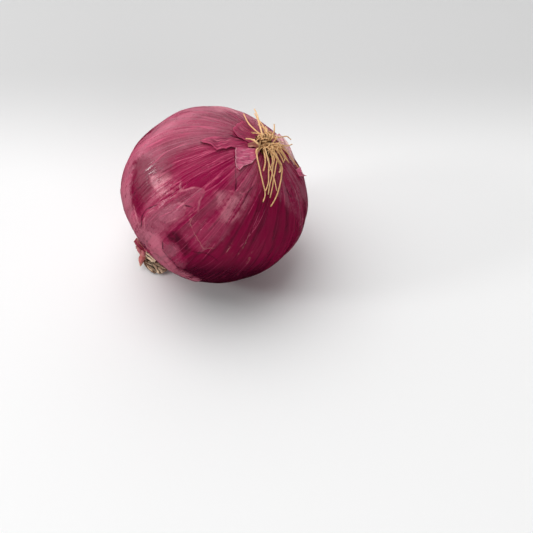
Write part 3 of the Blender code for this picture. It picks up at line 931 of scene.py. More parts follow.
def swing(value, size):
    """How far a noise lies from its middle, 0.5, times a size."""
    return part_of(calc(tree, "SUBTRACT", value, 0.5), size)


def total(*values):
    """Sum of values."""
    return calc(tree, "ADD", *values)


def most(*masks):
    """The greatest of masks."""
    return calc(tree, "MAXIMUM", *masks)


ragged = total(part_of(medium, 0.5), part_of(mottle, 0.5))


def line_layer(name, width, wobble, strength, least=0.12):
    """Mask of the single lines of one kind, broken along their length down to a least share."""
    side = total(attribute(tree, name), swing(ragged, wobble))
    thin = fade(tree, calc(tree, "ABSOLUTE", side), width, 0.1 * width)
    broken = fade(tree, patch, 0.40, 0.54, least * strength, strength)
    return calc(tree, "MULTIPLY", thin, attribute(tree, name + "_left"), broken)


BORDERS = {
    # zone: how soft and how torn its border is, in millimetres
    "bright": (3.0, 9.0), "crimson": (3.0, 8.0), "wine": (2.0, 9.0), "shaded_underside": (9.0, 9.0),
    "dark_patch": (1.6, 9.0), "pale_top": (5.0, 8.0), "limb": (4.5, 7.0), "mauve": (2.5, 8.0),
    "film_and_sheen": (2.5, 7.0), "loose": (2.4, 7.0), "grey_shadow": (2.2, 3.5), "crest": (4.5, 16.0),
    "right_film": (1.2, 5.0), "highlight_blister": (1.6, 5.0), "strip": (0.3, 0.8), "lobe": (0.6, 2.0),
    "inner_lobe": (1.0, 3.5), "flap": (0.3, 0.6),
}
zone = {}
for name, (soft, torn) in BORDERS.items():
    values = {"Distance": attribute(tree, name), "Soft": soft, "Ragged": torn, "Ragged Noise": ragged}
    zone[name] = use_group(tree, torn_zone, values)["Mask"]

red = coats(
    tree, RED,
    (CRIMSON, fade(tree, wide, 0.42, 0.60, 0.0, 0.95)),
    (BRIGHT, fade(tree, patch, 0.55, 0.68, 0.0, 0.6)),
    (CRIMSON, fade(tree, medium, 0.52, 0.66, 0.0, 0.6)),
    (BRIGHT, part_of(zone["bright"], 0.7)),
    (CRIMSON, part_of(zone["crimson"], 0.8)),
    (WINE, zone["wine"]),
    (CRIMSON, zone["dark_patch"]),
    (DARK_WINE_AND_SHADE, part_of(zone["dark_patch"], fade(tree, mottle, 0.40, 0.60, 0.10, 0.85))),
    (DARK_WINE_AND_SHADE, part_of(zone["wine"], fade(tree, medium, 0.46, 0.70, 0.0, 0.55))),
    # painted shade: the lower side near the table is painted dark wine
    (DARK_WINE_AND_SHADE, part_of(zone["shaded_underside"], 0.95)),
)

FILM_SHARES = {
    # zone: the share of film there, each laid over the ones before it
    "pale_top": 0.39, "limb": 0.94, "bright": 0.03, "crimson": 0.02, "mauve": 0.48, "right_film": 0.78,
    "crest": 0.90, "wine": 0.01, "shaded_underside": 0.01, "film_and_sheen": 0.95, "loose": 0.90, "dark_patch": 0.03,
    "grey_shadow": 0.46, "strip": 0.42, "lobe": 0.50, "inner_lobe": 0.66, "flap": 0.30, "highlight_blister": 0.72,
}
FILM_ELSEWHERE = 0.29
patchy = {
    # the pale film of this zone is in part a painted reflection
    "film_and_sheen": part_of(zone["film_and_sheen"], fade(tree, patch, 0.38, 0.58, 0.15, 1.0)),
    "highlight_blister": part_of(zone["highlight_blister"], fade(tree, medium, 0.36, 0.52, 0.4, 1.0)),
}
film = FILM_ELSEWHERE
for name, share in FILM_SHARES.items():
    mixed = {0: patchy.get(name, zone[name]), 2: film, 3: share}
    film = add_node(tree, "ShaderNodeMix", mixed, data_type="FLOAT").outputs[0]

still = part_of(most(zone["limb"], zone["loose"], zone["lobe"], zone["crest"]), 0.55)
calm = calc(tree, "SUBTRACT", total(1.0, part_of(zone["pale_top"], 0.5)), still)
streaks = part_of(total(swing(medium, 2.2), swing(fine, 1.5), swing(wide, 2.0)), calm)
broken = total(streaks, swing(cloud, 2.5), swing(mottle, 1.5), swing(grain, 0.7))
film = total(film, part_of(broken, total(0.015, part_of(film, 1.15))))
bands = noise(tree, bundle(tree, attribute(tree, "limb"), part_of(wide, 6.0), 0.0), 0.30, 2.0)
film = total(film, part_of(swing(bands, 1.2), most(zone["limb"], zone["loose"])))
film = calc(tree, "MINIMUM", most(film, 0.0), 1.0)
# grey film is real in the mauve and right zones; near the neck it is a painted shadow
greyed = most(
    part_of(zone["mauve"], 0.75), part_of(zone["right_film"], 0.5), part_of(zone["grey_shadow"], 0.9),
)
# paler film: real where skin is loose, painted highlight and reflection in the blister and sheen zones
paler_and_highlit = most(
    part_of(zone["highlight_blister"], 0.8), part_of(zone["crest"], 0.85), part_of(zone["film_and_sheen"], 0.40),
    part_of(zone["loose"], 0.20),
)
film_colour = coats(
    tree, FILM, (FILM_GREY, fade(tree, wide, 0.40, 0.62, 0.0, 0.7)), (FILM_GREY, greyed), (
        FILM_LIGHT, paler_and_highlit,
    )
)

ribs_seen = rib_layer(64.0, 0.34, 0.0)
hairs_seen = rib_layer(140.0, 0.20, 4.0)
shaded_grooves = rib_layer(90.0, 0.30, 9.0)
rib_share = total(
    0.52, part_of(zone["bright"], 0.35), part_of(zone["wine"], -0.34), part_of(zone["loose"], -0.35),
)
rib_share = part_of(most(rib_share, 0.0), calc(tree, "SUBTRACT", 1.0, part_of(zone["crimson"], 0.8)))
rim_line = line_layer("rim_line", 0.80, 2.6, 0.50, 0.3)
# painted shadow lines under torn edges and in cracks
painted_shadow_line = line_layer("painted_shadow_line", 0.55, 1.0, 0.90, 0.6)
pink_line = line_layer("pink_line", 0.38, 0.9, 0.65)
scuff_line = line_layer("scuff_line", 0.26, 3.4, 0.55)
colour = coats(
    tree, red,
    (film_colour, film),
    # painted shade: the grooves are darkened
    (DARK_VEIN_AND_SHADE, part_of(part_of(shaded_grooves, 0.14), calm)),
    (PINK, part_of(ribs_seen, rib_share)),
    (PINK, part_of(hairs_seen, part_of(rib_share, 0.5))),
    (DARK_VEIN_AND_SHADE, part_of(fade(tree, hair, 0.42, 0.28, 0.0, 0.20), calm)),
    (DARK_VEIN_AND_SHADE, part_of(fade(tree, mottle, 0.54, 0.70, 0.0, 0.35), fade(tree, medium, 0.48, 0.60))),
    (FILM_LIGHT, part_of(fade(tree, mottle, 0.42, 0.30, 0.0, 0.30), film)),
    (FILM_LIGHT, rim_line),
    (DARK_VEIN_AND_SHADE, painted_shadow_line),
    (PINK, pink_line),
    (CREAM, scuff_line),
)
rough = total(fade(tree, film, 0.0, 1.0, 0.22, 0.32), fade(tree, patch, 0.3, 0.7, -0.03, 0.05))
papery = use_group(tree, crumple, {"Place": place, "Size": 260.0})["Height"]
height = total(
    part_of(fine, 0.20), part_of(medium, 0.50), part_of(hair, 0.06),
    part_of(papery, total(0.08, part_of(film, 0.22))),
    part_of(most(ribs_seen, pink_line), 0.06), part_of(most(painted_shadow_line, shaded_grooves), -0.08),
)
skin_paint.links.new(colour, result["Color"])
skin_paint.links.new(rough, result["Roughness"])
skin_paint.links.new(height, result["Height"])
print("group skin paint has", len(skin_paint.nodes), "nodes")

# %% Material: outer skin
skin_material, tree, shader = new_material("red skin", ior=1.45, specular_ior_level=0.58)
painted = use_group(tree, skin_paint, {"Vein Space": attribute(tree, "vein_space", "Vector")})
finish_material(tree, shader, painted["Color"], painted["Roughness"], painted["Height"])
outer_skin = make_piece(
    "outer_skin", skin_points, skin_faces, skin_data, skin_material, "bulb",
)

# %% [markdown]
# ## Torn scraps
#
# Round the root the outermost skin has torn into scraps. Each is ruled between two edges: a point at
# s across and t along lies s of the way from the first edge to the second. The edges are read off
# the picture, and then a ragged wobble and a lift over the skin are added. A scrap that is still
# joined to the skin dips under it on that side, so it grows out of it without a seam.

# %% Ruled scraps
def to_map(points):
    """Map places of world points."""
    lon, colat, _ = to_polar(points)
    return np.degrees(colat)[..., None] * np.stack([np.cos(lon), np.sin(lon)], axis=-1)


def picture_line(pixels):
    """Map places under a line of picture places."""
    return to_map(from_picture(pixels, np.zeros(len(pixels))))


def along_line(knots, t):
    """Places along a line at shares t of its length."""
    knots = np.asarray(knots, float)
    run = np.concatenate([[0.0], np.cumsum(np.linalg.norm(np.diff(knots, axis=0), axis=1))])
    return np.stack([np.interp(t, run / run[-1], knots[:, axis]) for axis in range(knots.shape[1])], axis=-1)


def wobble(x, seed):
    """A ragged wave about 0: five sines of rising rate and falling height, at seeded phases."""
    rng = np.random.default_rng(seed)
    rates = np.array([1.0, 2.3, 4.1, 7.7, 13.0])
    waves = np.sin(x[..., None] * rates * rng.uniform(0.8, 1.2, 5) + rng.uniform(0.0, 6.3, 5))
    return np.sum(waves / rates**0.7, axis=-1) / 2.0


def ruled_places(first, second, rows, columns, bow=0.0, fray=0.4, seed=1):
    """Map places of a ruled scrap with s and t; bow pushes its end out in the middle, and fray is
    the height of its ragged wobble, both in degrees."""
    t, s = np.meshgrid(np.linspace(0, 1, rows), np.linspace(0, 1, columns), indexing="ij")
    near, far = along_line(first, t[:, 0])[:, None], along_line(second, t[:, 0])[:, None]
    width = np.linalg.norm(far - near, axis=-1, keepdims=True)
    length = np.linalg.norm(far[-1, 0] + near[-1, 0] - far[0, 0] - near[0, 0]) / 2.0
    forward = (far[-1, 0] + near[-1, 0] - far[0, 0] - near[0, 0]) / (2.0 * length)
    places = near + s[..., None] * (far - near)
    sideways = (2 * s - 1) ** 3 * wobble(t * length / 1.6 + 3.0 * (s > 0.5), seed) * fray
    places = places + sideways[..., None] * (far - near) / np.maximum(width, 1e-6)
    endways = t**4 * (bow * 4.0 * s * (1.0 - s) + fray * wobble(s * width[..., 0] / 1.2, seed + 1))
    rim = np.minimum(np.minimum(s, 1 - s) * width[..., 0], (1 - t) * length) * MAP_DEGREE
    sheet_place = np.stack([s * width[..., 0] * MAP_DEGREE, t * length * MAP_DEGREE, 0 * t], axis=-1)
    return places + endways[..., None] * forward, s, t, {"rim": rim, "sheet_place": sheet_place}


def make_scrap(name, ruled, height, thickness, material, node):
    """Lifts a ruled scrap over the skin by its heights in millimetres and closes it into a sheet."""
    places, s, t, fields = ruled
    lon, colat = from_map(places)
    grid = over_skin(lon, colat, height * MM)
    fields = {**fields, **skin_fields(lon, colat)}
    points, faces, fields = closed_sheet(grid, thickness, grid - CENTRE, fields)
    return make_piece(name, points, faces, fields, material, node)


print("scrap helpers ready")

# %% [markdown]
# ## Paint of the scraps
#
# A scrap that lies as it grew shows the same paint as the skin, with a pale torn rim. A scrap that
# is folded over shows its inner face, which is paler, with whitish veins that run across it.

# %% Material: attached scraps
SCRAP_RED = (0.400, 0.014, 0.090)
scrap_material, tree, shader = new_material("torn skin", ior=1.45, specular_ior_level=0.24)
painted = use_group(tree, skin_paint, {"Vein Space": attribute(tree, "vein_space", "Vector")})
rim = attribute(tree, "rim")
scrap_colour = over(tree, painted["Color"], SCRAP_RED, 0.38)
stretch = add_node(
    tree, "ShaderNodeMapping",
    {"Vector": attribute(tree, "sheet_place", "Vector"), "Scale": (1.0, 0.12, 1.0)},
)
scrap_veins = noise(tree, stretch.outputs["Vector"], 1.5, 3.0)
scrap_colour = over(tree, scrap_colour, DARK_VEIN_AND_SHADE, fade(tree, scrap_veins, 0.48, 0.36, 0.0, 0.70))
scrap_colour = over(tree, scrap_colour, FILM_LIGHT, fade(tree, scrap_veins, 0.55, 0.68, 0.0, 0.50))
scrap_colour = over(tree, scrap_colour, PINK, fade(tree, rim, 1.6, 0.0, 0.10, 0.55))
finish_material(tree, shader, scrap_colour, fade(tree, rim, 1.0, 0.0, 0.42, 0.55), painted["Height"])

# %% Material: inner face of the skin
INNER_PINK = (0.640, 0.120, 0.230)
INNER_LIGHT = (0.860, 0.400, 0.480)
INNER_DARK = (0.300, 0.040, 0.100)
inner_material, tree, shader = new_material("inner face of the skin", ior=1.45, specular_ior_level=0.24)
sheet_place = attribute(tree, "sheet_place", "Vector")
stretch = add_node(
    tree, "ShaderNodeMapping",
    {"Vector": sheet_place, "Scale": (0.12, 1.0, 1.0), "Rotation": (0.0, 0.0, 0.34)},
)
inner_veins = noise(tree, stretch.outputs["Vector"], 1.25, 3.0)
inner_blotch = noise(tree, sheet_place, 0.35, 3.0)
inner_colour = over(tree, INNER_PINK, INNER_DARK, fade(tree, inner_blotch, 0.44, 0.70, 0.0, 0.75))
inner_colour = over(tree, inner_colour, INNER_LIGHT, fade(tree, inner_veins, 0.51, 0.64, 0.0, 0.90))
inner_colour = over(tree, inner_colour, INNER_DARK, fade(tree, inner_veins, 0.45, 0.34, 0.0, 0.60))
inner_colour = over(
    tree, inner_colour, INNER_LIGHT, fade(tree, attribute(tree, "rim"), 0.7, 0.0, 0.0, 0.55),
)
inner_height = calc(tree, "MULTIPLY", inner_veins, 0.35)
finish_material(tree, shader, inner_colour, fade(tree, inner_blotch, 0.3, 0.7, 0.42, 0.55), inner_height)

# %% Material: papery collar
COLLAR_PINK = (0.700, 0.340, 0.380)
COLLAR_PALE = (0.860, 0.600, 0.540)
COLLAR_DARK = (0.330, 0.060, 0.110)
collar_material, tree, shader = new_material("papery collar", ior=1.45, specular_ior_level=0.22)
sheet_place = attribute(tree, "sheet_place", "Vector")
stretch = add_node(tree, "ShaderNodeMapping", {"Vector": sheet_place, "Scale": (1.0, 0.14, 1.0)})
collar_veins = noise(tree, stretch.outputs["Vector"], 0.9, 3.0)
collar_blotch = noise(tree, sheet_place, 0.42, 3.0)
collar_colour = over(tree, COLLAR_PINK, COLLAR_DARK, fade(tree, collar_blotch, 0.52, 0.68, 0.0, 0.60))
collar_colour = over(tree, collar_colour, COLLAR_PALE, fade(tree, collar_veins, 0.46, 0.60, 0.0, 0.85))
collar_colour = over(
    tree, collar_colour, COLLAR_PALE, fade(tree, attribute(tree, "rim"), 0.9, 0.0, 0.0, 0.6),
)
finish_material(
    tree, shader, collar_colour, fade(tree, collar_blotch, 0.3, 0.7, 0.5, 0.62),
    calc(tree, "MULTIPLY", collar_veins, 0.3),
)
print("scrap materials: 3")

# %% Tongue and shoulder
TONGUE_LOWER = (
    (258, 150.6), (248, 149.6), (240, 149), (235.3, 148.9), (231, 147.9), (228.5, 148.4), (225.8, 149.6),
    (222, 149.2), (219.5, 150.2), (216.8, 150.9), (214.6, 149.2), (213.2, 147), (210.5, 145.2),
    (206.5, 144), (203.5, 143.6), (200.6, 141.6),
)
TONGUE_UPPER = (
    (253, 143), (247, 141), (240, 137.5), (232, 135.5), (226, 135), (220, 135.2), (213, 136.8),
    (206.5, 138.6), (200.6, 141.0),
)
SHOULDER_LOWER = (
    (256, 146), (249, 144.5), (245, 141.5), (241, 139.2), (237.5, 137.6), (235.3, 135.9), (233.2, 133.2),
    (232.4, 131.6),
)
SHOULDER_UPPER = ((260, 133), (254, 129.5), (251, 126), (248.5, 123), (246.5, 121.6), (244.5, 121.4))
SHEET_THICKNESS = 0.00018

ruled = ruled_places(picture_line(TONGUE_LOWER), picture_line(TONGUE_UPPER), 80, 24, fray=0.25, seed=3)
places, s, t, _ = ruled
tongue_height = 0.10 + 0.75 * (1 - s) ** 2 * smooth_step(3 * t) - 0.35 * smooth_step((s - 0.75) / 0.25) * smooth_step(2.2 - 2.4 * t)
tongue_height = tongue_height + 0.55 * t**6 + 0.08 * wobble(9 * t + 4 * s, 5)
make_scrap("tongue_of_skin", ruled, tongue_height, SHEET_THICKNESS, scrap_material, "skin_tongue")

ruled = ruled_places(
    picture_line(SHOULDER_LOWER), picture_line(SHOULDER_UPPER), 60, 36, bow=1.2, fray=0.55, seed=8,
)
places, s, t, _ = ruled
shoulder_height = 0.30 + 0.75 * t**2 * (1 - s) + 0.35 * (1 - s) ** 3 - 0.5 * smooth_step((s - 0.6) / 0.4) * (1 - 0.5 * t)
shoulder_height = shoulder_height + 0.10 * wobble(6 * t + 5 * s, 9)
make_scrap("shoulder_scrap", ruled, shoulder_height, SHEET_THICKNESS, scrap_material, "skin_shoulder")

# %% Folded scrap
FOLD_HINGE = ((235.3, 148.9), (235, 153), (235.1, 158), (235.3, 163), (236, 168), (238.4, 170.2))
FOLD_EDGE = (
    (259, 150.8), (257.6, 154), (255.6, 157.6), (253, 161), (250.6, 164), (246, 165.6), (243, 166.2),
    (240.8, 168.2), (238.8, 170.2),
)

ruled = ruled_places(picture_line(FOLD_HINGE), picture_line(FOLD_EDGE), 70, 50, fray=0.28, seed=13)
places, s, t, _ = ruled
fold_height = 0.45 + 0.55 * np.exp(-s / 0.08) + 0.75 * s**2 + 0.30 * (1 - t) ** 3 + 0.12 * wobble(
    5 * s + 3 * t, 2,
)
make_scrap("folded_scrap", ruled, fold_height, SHEET_THICKNESS, inner_material, "skin_fold")

# %% Papery collar and flake
COLLAR_NEAR = (
    (266.5, 132.5), (271, 136), (276.5, 140.5), (281, 145.5), (285, 151), (289, 157.5), (293.5, 165.5),
)
COLLAR_FAR = ((6.6, 13.4), (12.0, 20.6), (17.6, 28.0), (24.0, 33.0), (31.0, 35.0))
FLAKE_ROOT = ((296.2, 169.4, 0.4), (297.4, 172.6, 0.4), (298.8, 176.4, 0.4))
FLAKE_TIP = ((300.2, 167.0, 1.4), (301.4, 171.4, 2.4), (305.2, 175.8, 4.2))

ruled = ruled_places(picture_line(COLLAR_NEAR), COLLAR_FAR, 90, 60, fray=1.2, seed=21)
places, s, t, _ = ruled
collar_height = 0.45 + 1.15 * np.abs(wobble(9 * t + 1.5 * s, 22)) * smooth_step(3.0 * s) + 0.5 * s * (1 - s)
make_scrap("papery_collar", ruled, collar_height, SHEET_THICKNESS, collar_material, "skin_collar")


def seen_edge(knots, count):
    """World points along an edge read off the picture, with heights over the skin in millimetres."""
    knots = along_line(knots, np.linspace(0, 1, count))
    return from_picture(knots[:, :2], knots[:, 2] * MM)


FLAKE_ROWS = 36
FLAKE_COLUMNS = 26
t, s = np.meshgrid(np.linspace(0, 1, FLAKE_ROWS), np.linspace(0, 1, FLAKE_COLUMNS), indexing="ij")
root_edge, tip_edge = seen_edge(FLAKE_ROOT, FLAKE_COLUMNS), seen_edge(FLAKE_TIP, FLAKE_COLUMNS)
ragged_reach = t * (1.0 + 0.26 * wobble(9.0 * s, 32) * t)
flake_grid = root_edge + ragged_reach[..., None] * (tip_edge - root_edge)
flake_grid = flake_grid + (0.6 * MM * np.sin(math.pi * t) * np.cos(5.0 * s))[..., None] * np.array([0.3, -0.5, 0.8])
flake_place = np.stack([s * 6.0, t * 5.0, 0 * t], axis=-1)
flake_fields = {"rim": np.minimum(np.minimum(s, 1 - s), 1 - t) * 5.0, "sheet_place": flake_place}
points, faces, fields = closed_sheet(flake_grid, SHEET_THICKNESS, flake_grid - CENTRE, flake_fields)
make_piece("lifted_flake", points, faces, fields, inner_material, "skin_flake")

# %% [markdown]
# ## Rootlets
#
# The dry rootlets spring from a corky plate and fall over the skin. Curve objects with a bevel would
# do, but a tube worked out as an array also carries its own fibre space, along which the material
# draws its grain. The long ones that face the camera follow lines read off the picture, each with
# heights over the skin. The others follow a rule: out of the plate, up in an arch, and down again.

# %% Tubes along paths
def smooth_path(knots, count):
    """A path through knots: a cubic on each stretch, whose slope at a knot is half the step between
    the knots beside it (a Catmull-Rom curve)."""
    knots = np.asarray(knots, float)
    ends = np.concatenate([[2 * knots[0] - knots[1]], knots, [2 * knots[-1] - knots[-2]]])
    t = np.linspace(0, len(knots) - 1, count)
    k = np.minimum(t.astype(int), len(knots) - 2)
    u = (t - k)[:, None]
    p0, p1, p2, p3 = ends[k], ends[k + 1], ends[k + 2], ends[k + 3]
    return p1 + 0.5 * u * (p2 - p0 + u * (2 * p0 - 5 * p1 + 4 * p2 - p3 + u * (3 * (p1 - p2) + p3 - p0)))


def carried_frames(paths):
    """Two unit vectors across each path at each of its points. The first is carried along from the
    start, losing only what would lean along the path, so the ring of points never twists."""
    tangent = np.gradient(paths, axis=1)
    tangent /= np.maximum(np.linalg.norm(tangent, axis=-1, keepdims=True), 1e-12)
    side = np.zeros_like(paths)
    ahead = np.cross(tangent[:, 0], np.array([0.31, 0.87, 0.38]))
    for step in range(paths.shape[1]):
        ahead = ahead - np.sum(ahead * tangent[:, step], axis=-1, keepdims=True) * tangent[:, step]
        ahead /= np.maximum(np.linalg.norm(ahead, axis=-1, keepdims=True), 1e-12)
        side[:, step] = ahead
    return side, np.cross(tangent, side)


def tube_bundle(paths, radii, sides, tones):
    """Closed tubes: rings of points round every path, with flat ends, and their fibre space, which
    is the cosine and sine round the tube and the length along it in millimetres."""
    count, steps = paths.shape[:2]
    side, other = carried_frames(paths)
    turn = np.arange(sides) / sides * math.tau
    ring = np.cos(turn)[:, None] * side[:, :, None] + np.sin(turn)[:, None] * other[:, :, None]
    points = paths[:, :, None] + radii[:, :, None, None] * ring
    run = np.linalg.norm(np.diff(paths, axis=1, prepend=paths[:, :1]), axis=-1).cumsum(axis=1) / MM
    fibre = np.stack(np.broadcast_arrays(np.cos(turn), np.sin(turn), run[..., None]), axis=-1)
    share = np.broadcast_to(np.linspace(0, 1, steps)[None, :, None], fibre.shape[:3])
    tone = np.broadcast_to(tones[:, None, None], fibre.shape[:3])
    faces = []
    for index in range(count):
        first = index * steps * sides
        faces += [face[::-1] for face in grid_faces(steps, sides, wrap=True, start=first)]
        faces.append(tuple(range(first, first + sides))[::-1])
        faces.append(tuple(range(first + (steps - 1) * sides, first + steps * sides)))
    fields = {"fibre_space": fibre.reshape(-1, 3), "share": share.ravel(), "tone": tone.ravel()}
    return points.reshape(-1, 3), faces, fields


def clear_of_skin(paths, least):
    """Pushes path points out to a least height over the skin."""
    lon, colat, reach = to_polar(paths)
    return over_skin(lon, colat, np.maximum(reach - bulb_radius(lon, colat), least))


print("tube helpers ready")

# %% Long rootlets seen in the picture
ROOTLET_STEPS = 44
ROOTLET_SIDES = 9
ROOTLET_RADIUS = 0.00042
SEEN_ROOTLETS = (
    # knots as picture x, picture y and height over the skin in millimetres
    (
        (261, 147, 2.0), (256.9, 153.5, 2.4), (259.8, 169, 1.4), (263.0, 183, 1.1), (265.2, 193.7, 1.0),
        (263.1, 202.0, 0.9),
    ),
    ((263, 148, 2.0), (264.7, 155, 2.6), (265.2, 163, 1.8), (263.4, 171.2, 1.3)),
    ((262, 145, 2.3), (265.0, 149.0, 3.6), (268.9, 163, 3.0), (274.2, 179, 2.0), (276.9, 191, 1.2)),
    ((264, 148, 2.0), (268.4, 160, 2.4), (268.6, 172, 1.6), (268.3, 182.7, 1.2), (265.4, 191.5, 1.4)),
    (
        (266, 147, 2.0), (271.5, 155, 2.6), (272.7, 166, 2.0), (271.5, 177, 1.4), (269.4, 186, 1.1),
        (268.2, 194.6, 1.0),
    ),
    (
        (268, 147, 2.0), (276.4, 157, 2.8), (275.6, 167, 2.0), (273.6, 179, 1.4), (272.2, 188, 1.1),
        (270.0, 197.9, 1.0),
    ),
    (
        (262, 145, 2.4), (268.5, 148.5, 3.8), (276.0, 157, 3.4), (281.5, 165.5, 2.4), (281.3, 177, 1.7),
        (278.3, 191, 1.2), (274.6, 200, 1.0), (270.5, 206.6, 0.9),
    ),
    ((264, 146, 2.2), (271.6, 148.6, 3.4), (277.0, 156, 2.6), (280.2, 163.4, 1.6)),
    ((264, 145, 2.0), (275.3, 149.0, 3.0), (280.6, 156, 2.2), (283.7, 162.6, 1.5)),
    ((266, 145, 2.0), (278.5, 147.8, 2.8), (282.6, 152, 2.2), (285.0, 157.9, 1.5)),
    (
        (266, 144, 2.0), (279.0, 146.0, 2.8), (287.0, 152.4, 1.6), (293.6, 161, 1.1), (299.2, 169.2, 0.9),
        (300.2, 174.0, 1.0),
    ),
    ((262, 143, 2.2), (272.4, 143.7, 3.6), (280.5, 144.6, 3.4), (286.9, 145.9, 3.4), (292.0, 144.3, 3.8)),
    ((266, 141, 2.0), (274.0, 138.2, 3.2), (282.0, 137.0, 3.6), (286.9, 136.4, 4.0), (291.0, 139.6, 4.0)),
    ((268, 145, 2.0), (272.4, 143.5, 3.0), (275.0, 139.6, 3.6), (278.0, 136.4, 3.4)),
    ((262, 141, 2.0), (260.9, 135.2, 3.0), (255.8, 130.7, 2.6), (248.8, 123.7, 2.0), (243.6, 114.0, 1.8)),
    ((263, 140, 2.2), (262.2, 133.3, 3.4), (259.2, 123.4, 3.6), (257.7, 116.4, 4.2), (254.4, 109.0, 4.6)),
    ((264, 140, 2.2), (262.5, 135.0, 3.8), (259.8, 126.4, 3.2), (257.4, 119.0, 3.0), (254.6, 113.6, 3.0)),
    ((266, 140, 2.2), (267.8, 135.8, 3.4), (265.0, 129.2, 3.6), (260.6, 122.6, 3.4), (256.6, 117.2, 3.4)),
    ((266, 142, 2.2), (267.2, 134.4, 3.8), (265.7, 126.4, 4.2)),
    ((268, 142, 2.0), (268.6, 139.4, 3.4), (271.2, 135.4, 3.8), (272.6, 134.6, 3.6)),
    ((270, 138, 2.0), (273.6, 133.0, 4.0), (274.3, 129.0, 5.2), (274.2, 124.2, 6.2)),
    ((261, 146, 2.0), (255.8, 141.7, 2.8), (250.7, 139.2, 2.2), (245.6, 138.8, 1.6)),
    ((262, 147, 2.0), (258.4, 144.3, 3.4), (255.4, 141.6, 3.4), (253.8, 139.4, 2.8)),
    ((260, 147, 1.8), (256.9, 149.6, 3.0), (256.2, 152.6, 2.6), (256.7, 155.4, 1.8)),
    ((262, 142, 2.0), (258.0, 136.8, 3.2), (260.2, 135.8, 3.8), (263.4, 140.2, 3.6)),
    ((281.2, 163.6, 2.2), (280.6, 168.0, 2.4), (280.2, 171.4, 2.0), (278.8, 172.2, 1.6)),
    ((270, 147, 2.0), (280.0, 151.4, 2.6), (284.4, 158, 1.8), (284.2, 161.0, 1.4)),
    ((267, 149, 2.0), (274.0, 155, 2.4), (279.0, 163, 1.7), (280.8, 168.8, 1.3)),
)


def seen_path(knots):
    """World path of a rootlet read off the picture."""
    knots = np.array(knots)
    return smooth_path(from_picture(knots[:, :2], knots[:, 2] * MM), ROOTLET_STEPS)


rng = np.random.default_rng(12)
seen_paths = clear_of_skin(np.stack([seen_path(knots) for knots in SEEN_ROOTLETS]), 0.55 * MM)
seen_radii = ROOTLET_RADIUS * rng.uniform(0.82, 1.12, (len(seen_paths), 1)) * np.linspace(
    1.0, 0.68, ROOTLET_STEPS,
)
seen_tones = rng.uniform(0.55, 1.0, len(seen_paths))
print("rootlets seen:", len(seen_paths))

# %% Rootlets by rule
SPRAYS = (
    # longitude, its spread, how many, least and greatest reach in degrees, lift and height of the tip in mm
    (-70, 12, 6, 12, 22, 2.0, 1.4),
    (-14, 16, 2, 13, 22, 1.6, 1.6),
    (28, 26, 2, 11, 20, 1.6, 2.6),
    (92, 16, 3, 11, 16, 1.4, 2.4),
    (119, 13, 2, 12, 18, 1.4, 2.2),
    (186, 26, 3, 9, 13, 1.2, 2.2),
    (-116, 14, 3, 10, 15, 1.2, 1.8),
)
SHORT_COUNT = 34


def map_path(start_lon, end_lon, start, reach, wave, lift, tip):
    """World path over the map: it leaves the plate at start degrees, runs to reach degrees, swings
    by wave degrees of longitude on the way, and rises in an arch before it settles to its tip."""
    t = np.linspace(0.0, 1.0, ROOTLET_STEPS)
    out = np.radians(start_lon), np.radians(end_lon + wave * np.sin(5.0 * t + wave) * t)
    place = np.stack([(1 - t) * start * np.cos(out[0]), (1 - t) * start * np.sin(out[0])], axis=-1)
    place = place + (t**1.15 * reach)[:, None] * np.stack([np.cos(out[1]), np.sin(out[1])], axis=-1)
    height = 1.0 + (tip - 1.0) * smooth_step(t / 0.2) + lift * np.sin(math.pi * t**0.8) ** 1.3
    return over_skin(*from_map(place), height * MM)


rule_paths = []
for lon, spread, count, least, most, lift, tip in SPRAYS:
    for _ in range(count):
        start_lon, end_lon = lon + rng.uniform(-3.2, 3.2) * spread, lon + rng.uniform(-1.0, 1.0) * spread
        wave = rng.uniform(2.0, 7.0)
        rule_paths.append(map_path(start_lon, end_lon, rng.uniform(2.0, 6.8), rng.uniform(least, most), wave, lift * rng.uniform(0.5, 1.0), tip))
for _ in range(SHORT_COUNT):
    start_lon = rng.uniform(0.0, 360.0)
    end_lon = start_lon + rng.uniform(-45.0, 45.0)
    start, reach = rng.uniform(0.5, 6.0), rng.uniform(6.0, 11.0)
    rule_paths.append(map_path(start_lon, end_lon, start, reach, rng.uniform(3.0, 14.0), rng.uniform(0.6, 1.8), rng.uniform(1.6, 3.6)))
rule_paths = clear_of_skin(np.stack(rule_paths), 0.5 * MM)
rule_radii = ROOTLET_RADIUS * rng.uniform(0.52, 0.86, (len(rule_paths), 1)) * np.linspace(
    1.0, 0.62, ROOTLET_STEPS,
)
# painted shade: rootlets that run low over the skin get a darker tone, and those that rise higher a paler one
lon, colat, reach = to_polar(rule_paths)
risen = np.mean(reach - bulb_radius(lon, colat), axis=1) / MM
rule_tones_shaded_low = np.clip((risen - 1.6) / 1.4, 0.0, 0.7) + rng.uniform(0.0, 0.3, len(rule_paths))
print("rootlets by rule:", len(rule_paths))

# %% [markdown]
# ## Straw
#
# Dry rootlets are pale straw with a fine grain along them. Near the plate, where they crowd, painted
# shade turns them brown. The grain is a noise in fibre space, stretched far along the tube.

